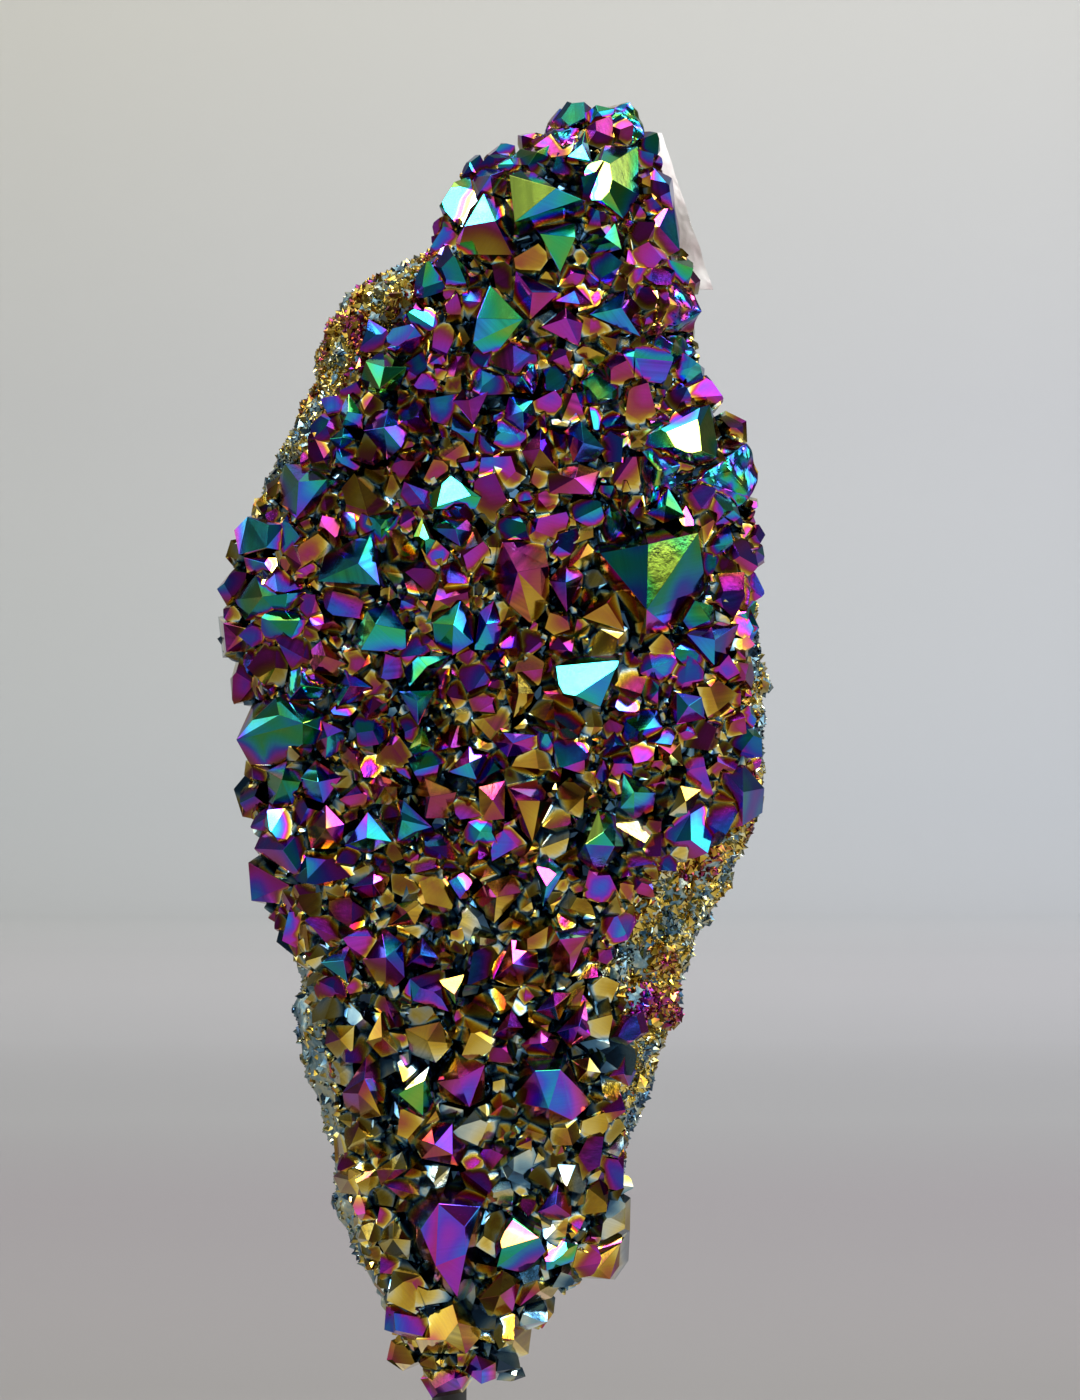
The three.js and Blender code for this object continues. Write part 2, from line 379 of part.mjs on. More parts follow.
// The rock: a drum in rings up its height, each corner moved out to its place.
function rockGeometry() {
  const geometry = new THREE.CylinderGeometry(1, 1, 1, ROCK_SIDES, ROCK_RINGS);
  const corners = geometry.attributes.position;
  for (let i = 0; i < corners.count; i++) {
    const z = THREE.MathUtils.lerp(ROCK[0][0], ROCK[ROCK.length - 1][0], corners.getY(i) + 0.5);
    const reach = Math.hypot(corners.getX(i), corners.getZ(i));
    const place = rockPoint(Math.atan2(corners.getX(i), corners.getZ(i)), z);
    const { middle, rim } = stationAt(z);
    const x = THREE.MathUtils.lerp(middle, place.x, reach);
    const y = THREE.MathUtils.lerp(rim, place.y, reach);
    corners.setXYZ(i, x, y, z);
  }
  return geometry;
}

// One big crystal: its point over its shoulder, and a foot that narrows into the rock.
function bigCrystal([rise, tips, shoulder]) {
  const middle = new THREE.Vector3();
  const corners = shoulder.map(([x, z]) => frontPoint(x, z).add(new THREE.Vector3(0, -SHOULDER, 0)));
  corners.forEach((corner) => middle.addScaledVector(corner, 1 / corners.length));
  const inward = frontNormal(middle.x, middle.z).multiplyScalar(-BIG_SINK);
  const feet = corners.map((corner) => corner.clone().lerp(middle, 1 - BIG_TAPER).add(inward));
  const peaks = tips.map(([x, z]) => frontPoint(x, z).add(new THREE.Vector3(0, -SHOULDER - rise, 0)));
  return new ConvexGeometry([...corners, ...feet, ...peaks]);
}

// One smaller crystal: a six-sided point whose foot is sunk in the rock's front, set along a direction.
function smallCrystal(place, direction, radius, spin) {
  const height = radius / Math.tan(FACE_SLOPE) + SMALL_SINK;
  const widened = (radius * height) / (height - SMALL_SINK);
  const geometry = new THREE.ConeGeometry(widened, height, 6);
  geometry.rotateX(Math.PI / 2);
  geometry.translate(0, 0, height / 2 - SMALL_SINK);
  geometry.rotateZ(spin);
  const turn = new THREE.Quaternion().setFromUnitVectors(new THREE.Vector3(0, 0, 1), direction);
  return geometry.applyQuaternion(turn).translate(place.x, place.y, place.z);
}

// How wide the big crystals are and where, to keep the smaller ones out of them.
const BIG_PLACES = BIG_CRYSTALS.map(([, , shoulder]) => {
  const x = shoulder.reduce((sum, corner) => sum + corner[0], 0) / shoulder.length;
  const z = shoulder.reduce((sum, corner) => sum + corner[1], 0) / shoulder.length;
  const reach = shoulder.reduce((sum, corner) => sum + Math.hypot(corner[0] - x, corner[1] - z), 0);
  return { x, z, reach: (CLEAR_OF_BIG * reach) / shoulder.length };
});

// The smaller crystals, row after row over the field, wherever no big crystal stands.
function smallCrystals() {
  const found = [];
  const rows = Math.floor((HIGHEST_ROW - LOWEST_ROW) / ROW_STEP);
  for (let row = 0; row <= rows; row++) {
    const level = LOWEST_ROW + row * ROW_STEP;
    const { fieldLeft, fieldRight } = stationAt(level);
    const span = fieldRight - fieldLeft;
    const columns = Math.max(2, Math.round((BULGE * span) / COLUMN_STEP));
    for (let column = 0; column < columns; column++) {
      const step = (column + 0.5 + random(-JITTER, JITTER)) / columns;
      const swing = Math.sin((step - 0.5) * 2 * FLANK_TURN) / Math.sin(FLANK_TURN);
      const x = (fieldLeft + fieldRight) / 2 + (swing * span) / 2;
      const z = level + random(-JITTER, JITTER) * ROW_STEP;
      const radius = random(SMALLEST, LARGEST);
      const lean = new THREE.Vector3(random(-1, 1), random(-1, 1), random(-1, 1)).multiplyScalar(MOST_LEAN);
      const spin = random(0, Math.PI / 3);
      const isFree = BIG_PLACES.every((big) => Math.hypot(big.x - x, big.z - z) > big.reach);
      if (!isFree) continue;
      const direction = frontNormal(x, z).add(lean).normalize();
      found.push(smallCrystal(frontPoint(x, z), direction, radius, spin));
    }
  }
  return found;
}

// The cluster: rock and crystals grown into one solid, drilled from below for the post.
function clusterGeometry() {
  let solid = solidFrom(rockGeometry());
  for (const crystal of [...BIG_CRYSTALS.map(bigCrystal), ...smallCrystals()]) {
    solid = solid.add(solidFrom(crystal));
  }
  const drilled = bar(POST_RADIUS + GAP, POST_X, -POST_IN_ROCK, POST_IN_ROCK + GAP);
  return outerSkin(geometryFrom(solid.subtract(solidFrom(drilled))));
}

// The foot: a plate with rounded corners and a softened edge, with a socket for the post.
function plateGeometry() {
  const cornerX = PLATE_WIDTH / 2 - PLATE_EDGE - PLATE_CORNER;
  const cornerY = PLATE_DEPTH / 2 - PLATE_EDGE - PLATE_CORNER;
  const outline = new THREE.Shape();
  outline.absarc(cornerX, cornerY, PLATE_CORNER, 0, Math.PI / 2);
  outline.absarc(-cornerX, cornerY, PLATE_CORNER, Math.PI / 2, Math.PI);
  outline.absarc(-cornerX, -cornerY, PLATE_CORNER, Math.PI, 1.5 * Math.PI);
  outline.absarc(cornerX, -cornerY, PLATE_CORNER, 1.5 * Math.PI, 2 * Math.PI);
  const geometry = new THREE.ExtrudeGeometry(outline, {
    depth: PLATE_THICK - 2 * PLATE_EDGE,
    curveSegments: PLATE_CORNER_STEPS,
    bevelThickness: PLATE_EDGE,
    bevelSize: PLATE_EDGE,
    bevelSegments: 1,
  });
  geometry.translate(0, 0, PLATE_EDGE);
  const socket = bar(POST_RADIUS + GAP, POST_X, PLATE_THICK - POST_IN_PLATE - GAP, PLATE_THICK + 1);
  return geometryFrom(solidFrom(geometry).subtract(solidFrom(socket)));
}

// The label: a sheet that follows the rock's flank where it is glued, then stands off to its edge.
function labelGeometry() {
  const columns = LABEL_GLUED.length + 1;
  const geometry = new THREE.BoxGeometry(1, 1, 1, columns, 1, LABEL_ROWS);
  const corners = geometry.attributes.position;
  for (let i = 0; i < corners.count; i++) {
    const share = corners.getZ(i) + 0.5;
    const column = Math.round((0.5 - corners.getX(i)) * columns);
    const z = THREE.MathUtils.lerp(LABEL_BOTTOM, LABEL_TOP, share);
    const lift = corners.getY(i) > 0 ? 2 * GAP + LABEL_THICK : 2 * GAP;
    const kink = LABEL_KINK * Math.sin(share * LABEL_WAVES * 2 * Math.PI);
    if (column < 2) {
      const start = rockPoint(LABEL_GLUED[0], z).add(new THREE.Vector3(lift, lift, 0));
      const edgeX = THREE.MathUtils.lerp(LABEL_EDGE_BOTTOM[0], LABEL_EDGE_TOP[0], share);
      const edgeY = THREE.MathUtils.lerp(LABEL_EDGE_BOTTOM[1], LABEL_EDGE_TOP[1], share) + lift + kink;
      const edge = new THREE.Vector3(edgeX, edgeY, z);
      const place = edge.lerp(start, column / 2);
      corners.setXYZ(i, place.x, place.y, z);
    } else {
      const angle = LABEL_GLUED[column - 2];
      const place = rockPoint(angle, z);
      corners.setXYZ(i, place.x + lift * Math.cos(angle), place.y + lift * Math.sin(angle), z);
    }
  }
  geometry.translate(...LABEL_CLEAR, 0);
  return geometry;
}

// The pieces, each with its material, on the stand's frame.
const object = new THREE.Group();

function addPiece(name, geometry, material, parent) {
  const piece = new THREE.Mesh(geometry, new THREE.MeshStandardMaterial(material));
  piece.name = name;
  parent.add(piece);
}

const steel = { color: 0x111214, roughness: 0.55, metalness: 0.2 };
addPiece("stand_base", plateGeometry(), steel, object);
const postBottom = PLATE_THICK - POST_IN_PLATE;
addPiece("stand_post", bar(POST_RADIUS, POST_X, postBottom, CLUSTER_Z + POST_IN_ROCK), steel, object);

const cluster = new THREE.Group();
cluster.position.z = CLUSTER_Z;
object.add(cluster);
const film = { color: 0x6a3f6e, roughness: 0.2, metalness: 0.8 };
addPiece("crystal_cluster", clusterGeometry(), film, cluster);
const paper = { color: 0xe6dcd8, roughness: 0.9, metalness: 0 };
addPiece("price_label", labelGeometry(), paper, cluster);

export default object;
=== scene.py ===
# An aura quartz cluster on its stand: quartz crystals grown over one face of their rock and coated
# with a rainbow film of titanium, held up by a black steel post on a foot plate. Blender works in
# metres with +Z up. The cluster's own sizes are in millimetres, from its middle line and lowest tip.
import itertools
import math

import bmesh
import bpy
import numpy as np
from mathutils import Matrix, Vector, noise
from mathutils.bvhtree import BVHTree


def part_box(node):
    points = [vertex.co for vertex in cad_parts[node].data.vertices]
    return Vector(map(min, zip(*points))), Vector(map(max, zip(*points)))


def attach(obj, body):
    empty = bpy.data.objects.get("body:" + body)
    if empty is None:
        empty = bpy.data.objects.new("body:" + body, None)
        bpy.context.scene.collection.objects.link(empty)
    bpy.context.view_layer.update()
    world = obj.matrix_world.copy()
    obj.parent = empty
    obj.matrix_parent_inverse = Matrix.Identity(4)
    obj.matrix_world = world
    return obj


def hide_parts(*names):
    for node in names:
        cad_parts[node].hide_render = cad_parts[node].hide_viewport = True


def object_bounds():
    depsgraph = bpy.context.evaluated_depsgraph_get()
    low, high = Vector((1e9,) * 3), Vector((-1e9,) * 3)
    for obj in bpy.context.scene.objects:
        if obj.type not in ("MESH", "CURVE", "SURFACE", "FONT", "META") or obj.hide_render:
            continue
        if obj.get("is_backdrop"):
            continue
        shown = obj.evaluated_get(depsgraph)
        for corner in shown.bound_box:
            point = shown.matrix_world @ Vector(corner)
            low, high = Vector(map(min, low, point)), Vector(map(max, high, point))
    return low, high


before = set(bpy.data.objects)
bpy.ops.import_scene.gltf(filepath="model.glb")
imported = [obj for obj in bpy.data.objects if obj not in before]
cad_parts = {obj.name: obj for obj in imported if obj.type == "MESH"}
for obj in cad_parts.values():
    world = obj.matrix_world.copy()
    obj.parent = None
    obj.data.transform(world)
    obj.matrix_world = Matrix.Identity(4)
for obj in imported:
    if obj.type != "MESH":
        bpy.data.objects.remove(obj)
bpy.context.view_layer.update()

MM = 0.001
CLUSTER_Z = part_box("crystal_cluster")[0].z


# ---- The camera: level with the middle of the cluster, square on to the face the crystals grow on.
# It sees this much of their height, at the distance at which they stand.
SEEN_TALL = 280 * MM
SEEN_Y = -22 * MM
CAMERA_X = 8 * MM
CAMERA_Z = CLUSTER_Z + 137.6 * MM
CAMERA_AWAY = 1.5

camera = bpy.data.cameras.new("camera")
camera.lens = camera.sensor_width * CAMERA_AWAY / SEEN_TALL
camera_object = bpy.data.objects.new("camera", camera)
camera_object.location = (CAMERA_X, SEEN_Y - CAMERA_AWAY, CAMERA_Z)
camera_object.rotation_euler = (math.pi / 2, 0, 0)
bpy.context.scene.collection.objects.link(camera_object)
bpy.context.scene.camera = camera_object


# ---- The studio: a pale floor that sweeps up into the wall behind, under soft lights.
# Painted board, rolled in one sheet so that no seam shows.
FLOOR_HALF = 8.0
WALL_Y = 6.0
WALL_TOP = 5.0
SWEEP_RADIUS = 0.5
SWEEP_STEPS = 24
# The board's colour is painted light and shade: darker and warmer on the floor than up the wall,
# and a little cooler to the right. How far along it, from near to far, and its painted tone there.
BOARD_NEAR, BOARD_FAR = 0.6, 7.0
BOARD_PAINTED_LIGHT = [
    (0.014, (0.243, 0.229, 0.226)),
    (0.146, (0.418, 0.385, 0.404)),
    (0.237, (0.545, 0.533, 0.545)),
    (0.372, (0.588, 0.579, 0.603)),
    (0.450, (0.563, 0.554, 0.580)),
    (0.540, (0.543, 0.535, 0.561)),
    (0.625, (0.547, 0.546, 0.572)),
    (0.740, (0.612, 0.622, 0.649)),
    (0.830, (0.622, 0.641, 0.672)),
    (0.884, (0.670, 0.683, 0.700)),
    (0.922, (0.728, 0.732, 0.745)),
    (0.982, (0.775, 0.765, 0.728)),
]
BOARD_SIDE = 0.5
BOARD_SHADED_LEFT, BOARD_LIT_RIGHT = (0.875, 0.865, 0.815), (1.0, 1.0, 1.0)
ROOM_COLOUR, ROOM_STRENGTH = (0.90, 0.97, 1.05), 0.15


def plain_material(name, colour, roughness, metallic=0.0):
    material = bpy.data.materials.new(name)
    material.use_nodes = True
    shader = material.node_tree.nodes["Principled BSDF"]
    shader.inputs["Base Color"].default_value = (*colour, 1)
    shader.inputs["Roughness"].default_value = roughness
    shader.inputs["Metallic"].default_value = metallic
    return material, material.node_tree, shader


def add_ramp(graph, value, stops):
    """The colour at a value, along a ramp of stops: each a position and its colour."""
    ramp = graph.nodes.new("ShaderNodeValToRGB")
    elements = ramp.color_ramp.elements
    while len(elements) < len(stops):
        elements.new(1.0)
    for element, (position, colour) in zip(elements, stops):
        element.position = position
        element.color = (*colour, 1)
    graph.links.new(value, ramp.inputs["Fac"])
    return ramp.outputs["Color"]


def add_range(graph, value, given, wanted=(0, 1)):
    """A value moved from the range it is given in to the one that is wanted."""
    node = graph.nodes.new("ShaderNodeMapRange")
    for name, limit in zip(("From Min", "From Max", "To Min", "To Max"), (*given, *wanted)):
        node.inputs[name].default_value = limit
    graph.links.new(value, node.inputs["Value"])
    return node.outputs["Result"]


def add_sum(graph, operation, *values):
    """The result of one sum, on numbers and on other nodes' results."""
    node = graph.nodes.new("ShaderNodeMath")
    node.operation = operation
    for socket, value in zip(node.inputs, values):
        if isinstance(value, bpy.types.NodeSocket):
            graph.links.new(value, socket)
        else:
            socket.default_value = value
    return node.outputs[0]


def select_only(thing):
    bpy.ops.object.select_all(action="DESELECT")
    thing.select_set(True)
    bpy.context.view_layer.objects.active = thing


bpy.ops.object.select_all(action="DESELECT")
bpy.ops.mesh.primitive_plane_add(size=2 * FLOOR_HALF, location=(0, WALL_Y - SWEEP_RADIUS - FLOOR_HALF, 0))
backdrop = bpy.context.active_object
backdrop.name = "backdrop"
bpy.ops.object.transform_apply(location=True, rotation=False, scale=False)
bpy.ops.object.mode_set(mode="EDIT")
sheet = bmesh.from_edit_mesh(backdrop.data)
for edge in sheet.edges:
    edge.select = all(corner.co.y > 0 for corner in edge.verts)
sheet.select_flush_mode()
bmesh.update_edit_mesh(backdrop.data)
bpy.ops.mesh.spin(steps=SWEEP_STEPS, angle=-math.pi / 2, axis=(1, 0, 0),
                  center=(0, WALL_Y - SWEEP_RADIUS, SWEEP_RADIUS))
bpy.ops.mesh.extrude_region_move(TRANSFORM_OT_translate={"value": (0, 0, WALL_TOP)})
bpy.ops.mesh.select_all(action="SELECT")
bpy.ops.mesh.remove_doubles(threshold=1e-5)
bpy.ops.mesh.normals_make_consistent(inside=False)
bpy.ops.object.mode_set(mode="OBJECT")
bpy.ops.object.shade_smooth()
board, graph, shader = plain_material("backdrop_board", (0.5, 0.5, 0.5), 0.9)
place = graph.nodes.new("ShaderNodeTexCoord")
axes = graph.nodes.new("ShaderNodeSeparateXYZ")
graph.links.new(place.outputs["Object"], axes.inputs[0])
along = add_sum(graph, "ADD", axes.outputs["Y"], axes.outputs["Z"])
# Painted light and shade on the board: along it from near to far, and across it, darker and warmer to the
# left.
painted_board_light = add_ramp(graph, add_range(graph, along, (BOARD_NEAR, BOARD_FAR)), BOARD_PAINTED_LIGHT)
across = add_range(graph, axes.outputs["X"], (-BOARD_SIDE, BOARD_SIDE))
cooler = add_ramp(graph, across, [(0, BOARD_SHADED_LEFT), (1, BOARD_LIT_RIGHT)])
both = graph.nodes.new("ShaderNodeMix")
both.data_type = "RGBA"
both.blend_type = "MULTIPLY"
both.inputs["Factor"].default_value = 1
graph.links.new(painted_board_light, both.inputs["A"])
graph.links.new(cooler, both.inputs["B"])
graph.links.new(both.outputs["Result"], shader.inputs["Base Color"])
backdrop.data.materials.append(board)
backdrop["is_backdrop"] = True

world = bpy.data.worlds.new("room")
world.use_nodes = True
world.node_tree.nodes["Background"].inputs["Color"].default_value = (*ROOM_COLOUR, 1)
world.node_tree.nodes["Background"].inputs["Strength"].default_value = ROOM_STRENGTH
bpy.context.scene.world = world
bpy.context.scene.view_settings.view_transform = "Standard"

# The windows are small and bright: they make the flashes on faces that happen to mirror them.
# Each light: its name, its place, what it points at, its width and height, how bright its face is,
# and its colour.
AIM = (0, 0, CAMERA_Z)
WINDOW_FRONT = (-0.45, -1.6, 0.80)
WINDOW_RIGHT = (1.05, -0.35, 1.25)
WINDOW_LEFT = (-0.9, 0.1, 1.45)
WINDOW_HIGH = (0.35, -1.0, 1.55)
LIGHTS = [
    ("ceiling", (0, -0.5, 3.4), (0, -0.5, 0), 6.0, 6.0, 0.7, (0.96, 0.98, 1.0)),
    ("top", (0.1, 0.2, 2.0), AIM, 1.5, 1.0, 3.6, (1.0, 0.99, 0.97)),
    ("right", (1.5, 0.05, 0.75), AIM, 0.8, 1.0, 4.0, (0.94, 0.98, 1.0)),
    ("left", (-1.6, 0.1, 0.6), AIM, 0.9, 1.1, 2.6, (0.97, 0.99, 1.0)),
    ("front", (0.9, -1.5, 1.3), AIM, 0.7, 0.6, 3.4, (1.0, 1.0, 1.0)),
    ("under", (0.1, -0.4, 0.02), (0, -0.4, 1), 1.0, 0.5, 0.6, (1.0, 0.95, 0.9)),
    ("window_front", WINDOW_FRONT, AIM, 0.30, 0.42, 26.0, (0.97, 0.99, 1.0)),
    ("window_right", WINDOW_RIGHT, AIM, 0.32, 0.42, 26.0, (1.0, 1.0, 1.0)),
    ("window_left", WINDOW_LEFT, AIM, 0.32, 0.32, 26.0, (0.98, 1.0, 1.0)),
    ("window_high", WINDOW_HIGH, AIM, 0.5, 0.4, 12.0, (1.0, 1.0, 1.0)),
    ("wall", (0, 3.6, 2.6), (0, 6.0, 0.5), 3.4, 0.6, 10.0, (1.0, 1.0, 1.0)),
]
for name, spot, target, wide, tall, glow, colour in LIGHTS:
    light = bpy.data.lights.new(name, "AREA")
    light.shape = "RECTANGLE"
    light.size = wide
    light.size_y = tall
    light.energy = glow * math.pi * wide * tall
    light.color = colour
    lamp = bpy.data.objects.new(name, light)
    lamp.location = spot
    lamp.rotation_euler = (Vector(target) - Vector(spot)).to_track_quat("-Z", "Y").to_euler()
    bpy.context.scene.collection.objects.link(lamp)


# ---- The rock: the broken matrix that the crystals grew on, quartz crust over grey agate, coated
# with them. It is open below, where the stand's post goes up into a drilled socket.
# Each station up its height: z, left and right edge, front and back, and the ends of the crystals.
ROCK = np.array([
    (3, -15, 2, -9, 8, -15, 2),
    (8, -19, 5, -12, 9, -19, 6),
    (14, -23.5, 6, -14, 10, -22, 7),
    (20, -27, 12, -15, 11, -24, 14),
    (25, -30, 20, -16, 12, -27, 22),
    (32, -33, 23, -17, 13, -29, 24),
    (40, -34, 24.5, -18.5, 14, -31, 24),
    (50, -35, 26, -19.5, 15, -32, 24),
    (58, -37.5, 29.5, -20.5, 16, -33, 22),
    (66, -39.5, 32, -21.5, 16, -35, 27),
    (74, -42, 36, -22, 17, -37, 25),
    (82, -40.5, 38, -23, 17, -38, 22),
    (90, -42, 40.5, -24, 18, -42, 21),
    (98, -46.5, 45, -25, 18, -47, 27),
    (106, -47, 49, -26, 18, -49, 33),
    (114, -47, 52, -27, 18, -49, 46),
    (124, -48, 53, -28, 18, -50, 51),
    (136, -49, 54, -29, 17, -51, 49),
    (148, -51, 52.5, -30, 17, -54, 49),
    (160, -51, 50, -30, 16, -54, 50),
    (170, -49, 48.5, -30, 15, -52, 51),
    (180, -47.5, 48, -30, 14, -46, 51),
    (188, -44.5, 46, -29.5, 12, -37, 50),
    (194, -41.5, 41, -29.5, 11, -34, 43),
    (200, -38, 38.5, -29, 9, -31, 41),
    (208, -36, 36.5, -28.5, 8, -22, 39),
    (214, -34.5, 36.5, -28, 7, -18, 39),
    (220, -29.5, 36, -28, 5, -15, 39),
    (225, -20, 35, -28, 4, -12, 38),
    (230, -11, 33, -27.5, 3, -12, 35),
    (238, -9, 32, -27, 1, -11, 34),
    (243, -4.5, 30.5, -25.5, -1, -8, 33),
    (247, 5, 28.5, -24, -4, 2, 31),
    (251, 10, 26.5, -21, -7, 8, 29),
    (254, 14, 24, -18, -10, 12, 27),
])
ROCK_LOW, ROCK_TOP = ROCK[0, 0], ROCK[-1, 0]
# How square its section is, and how far back its rim lies between its front and its back.
ROUNDNESS = 2.6
RIM_SHARE = 0.55
# How far its swells stand out in mm, and what share of them shows away from the label.
LUMP = 2.2
EVEN_LUMPS = 0.2
# Its broken surface: how close its chips, flakes, lumps and roughness lie, how far they stand out, and
# how far on average, which is taken off again.
CHIP_SCALE, CHIP, CHIP_MEAN = 0.11, 1.8, 0.75
FLAKE_SCALE, FLAKE, FLAKE_MEAN = 0.32, 0.7, 0.25
NUB_SCALE, NUB, NUB_MEAN = 0.19, 2.2, 0.42
ROUGH_SCALE, ROUGH = 0.45, 0.45
# The knobs on its back and the rounded lumps of crust on its bare rims, and where those begin.
KNOB, KNOB_SCALE = 3.6, 0.065
CRUST_LUMP, CRUST_SCALE = 3.2, 0.125
BEHIND_GAIN, BEHIND_START = 1.4, 0.25
RIM_EDGE, RIM_BACK = 2, 0.6
# Where the label lies, round the rock and up it.
LABEL_ROUND, LABEL_SPREAD = 0.9, 0.5
LABEL_LOW, LABEL_FADE = 212, 6
# The mesh, round and up, with its cap on top and the socket drilled for the post below.
ROCK_AROUND = 200
ROCK_RINGS = 270
CAP_RINGS = 5
CAP_TILT = 0.8
SOCKET_RINGS = 4
POST_X = -10.4
SOCKET_RADIUS = 3.8
SOCKET_DEPTH = 22.3
# Under the crystals it lies this much lower, from this far inside their field, and its coat there is
# darkened with painted shade.
UNDER_SUNK = 1.2
UNDER_EDGE, UNDER_GAIN = 4, 2.5
ROCK_SMOOTH = math.radians(32)


def station_at(z):
    """The rock's middle, half width, front, back, rim and the ends of the crystals, at a height."""
    level = np.clip(z, ROCK_LOW, ROCK_TOP)
    left, right, front, back, field_left, field_right = (np.interp(level, ROCK[:, 0], ROCK[:, i])
                                                         for i in range(1, 7))
    rim = front + RIM_SHARE * (back - front)
    return (left + right) / 2, (right - left) / 2, front, back, rim, field_left, field_right


def signed_power(value, power):
    return np.sign(value) * np.abs(value) ** power


def rock_point(angle, z, lumps=1):
    """The rock's smooth surface at an angle round it, 0 at its right and a quarter turn at its back.
    Its swells run two, three and five times round it and lean over as they rise."""
    middle, half, front, back, rim, _, _ = station_at(z)
    across = signed_power(np.cos(angle), 2 / ROUNDNESS)
    along = signed_power(np.sin(angle), 2 / ROUNDNESS)
    broad_lumps = np.sin(3 * angle + 0.16 * z) * np.cos(2 * angle - 0.11 * z)
    close_lumps = 0.5 * np.sin(5 * angle - 0.31 * z)
    swell = lumps * LUMP * (broad_lumps + close_lumps) * np.maximum(0, along + 0.35)
    x = middle + (half + 0.6 * swell) * across
    y = rim + np.where(along < 0, rim - front, back - rim + swell) * along
    return np.stack([x, y, z + 0 * x], -1)


def front_point(x, z):
    """The rock's front at a place in its outline."""
    middle, half, front, _, rim, _, _ = station_at(z)
    across = np.minimum(np.abs(x - middle) / half, 0.985)
    depth = (1 - across**ROUNDNESS) ** (1 / ROUNDNESS)
    return np.stack([x + 0 * depth, rim - (rim - front) * depth, z + 0 * depth], -1)


def unit(vectors):
    return vectors / np.linalg.norm(vectors, axis=-1, keepdims=True)


def front_normal(x, z, step=1.5):
    across = front_point(x + step, z) - front_point(x - step, z)
    up = front_point(x, z + step) - front_point(x, z - step)
    return unit(np.cross(across, up))


def to_scene(points):
    """Millimetres in the cluster's own frame to metres in the scene."""
    return np.asarray(points) * MM + np.array([0, 0, CLUSTER_Z])


def from_scene(points):
    return (np.asarray(points) - np.array([0, 0, CLUSTER_Z])) / MM


def points_of(mesh):
    found = np.empty(3 * len(mesh.vertices))
    mesh.vertices.foreach_get("co", found)
    return found.reshape(-1, 3)


def broken(point):
    """How far the rock's broken surface stands off its smooth shape, in mm."""
    chips = noise.voronoi(point * CHIP_SCALE)[0]
    flakes = noise.voronoi(point * FLAKE_SCALE + Vector((7, 3, 5)))[0]
    nubs = noise.voronoi(point * NUB_SCALE + Vector((1, 8, 2)))[0]
    rough = noise.fractal(point * ROUGH_SCALE, 0.8, 2.1, 4)
    return (CHIP * (chips[1] - chips[0]) - CHIP_MEAN + FLAKE * (flakes[1] - flakes[0]) - FLAKE_MEAN
            + NUB * (NUB_MEAN - nubs[0]) + ROUGH * rough)


def crust_lump(point):
    """How near a place is to the middle of one of the crust's rounded lumps, from -0.5 to 0.5."""
    return 0.5 - min(1.0, noise.voronoi(Vector(point) * CRUST_SCALE + Vector((4, 0, 6)))[0][0])


bpy.ops.mesh.primitive_uv_sphere_add(segments=ROCK_AROUND, ring_count=ROCK_RINGS, radius=1)
rock = bpy.context.active_object
rock.name = "rock"
ball = points_of(rock.data)
ring = np.arccos(np.clip(ball[:, 2], -1, 1)) / math.pi * ROCK_RINGS
angle = np.arctan2(ball[:, 1], ball[:, 0])
body_end = ROCK_RINGS - CAP_RINGS - SOCKET_RINGS
share_down = np.clip((ring - CAP_RINGS) / (body_end - CAP_RINGS), 0, 1)
level = ROCK_TOP + (ROCK_LOW - ROCK_TOP) * share_down
by_label = np.exp(-(((angle - LABEL_ROUND) / LABEL_SPREAD) ** 4))
by_label *= np.clip((level - LABEL_LOW) / LABEL_FADE, 0, 1)
skin = rock_point(angle, level, EVEN_LUMPS + (1 - EVEN_LUMPS) * by_label)
middle, _, _, _, rim, _, _ = station_at(level)
top_reach = np.clip(ring / CAP_RINGS, 0, 1)[:, None]
skin = np.stack([middle, rim, level], 1) * (1 - top_reach) + skin * top_reach
socket_share = np.clip((ring - body_end) / CAP_RINGS, 0, 1)[:, None]
socket_edge = np.stack([POST_X + SOCKET_RADIUS * np.cos(angle), SOCKET_RADIUS * np.sin(angle),
                        np.full_like(angle, ROCK_LOW)], 1)
skin = skin * (1 - socket_share) + socket_edge * socket_share
up_socket = np.clip((ring - body_end - CAP_RINGS) / (SOCKET_RINGS - 1), 0, 1)
skin[:, 2] += up_socket * (SOCKET_DEPTH - ROCK_LOW)
at_pole = ring > ROCK_RINGS - 0.5
skin[at_pole, :2] = (POST_X, 0)
outward = np.stack([np.cos(angle), np.sin(angle), 0 * angle], 1)
outward[ring < CAP_RINGS] += (0, 0, CAP_TILT)
roughness_here = np.clip(1 - socket_share[:, 0] * 2, 0, 1)
behind = np.clip(BEHIND_GAIN * np.sin(angle) + BEHIND_START, 0, 1) * (1 - by_label)
knobs = np.array([noise.fractal(Vector(p) * KNOB_SCALE + Vector((2, 5, 1)), 0.7, 2.1, 3) for p in skin])
stand_off = (np.array([broken(Vector(p)) for p in skin]) + KNOB * knobs * behind) * roughness_here
skin += unit(outward) * stand_off[:, None]
*_, field_left, field_right = station_at(level)
inside_field = np.minimum(skin[:, 0] - field_left, field_right - skin[:, 0])
on_rim = np.clip(-inside_field / RIM_EDGE, 0, 1) * np.clip(RIM_BACK - np.sin(angle), 0, 1) * roughness_here
crust = np.array([crust_lump(p) if share > 0 else 0 for p, share in zip(skin, on_rim)])
skin += unit(outward) * (CRUST_LUMP * crust * on_rim)[:, None]
under = np.clip(inside_field / UNDER_EDGE, 0, 1) * np.clip(-UNDER_GAIN * np.sin(angle), 0, 1)
under *= ring > CAP_RINGS
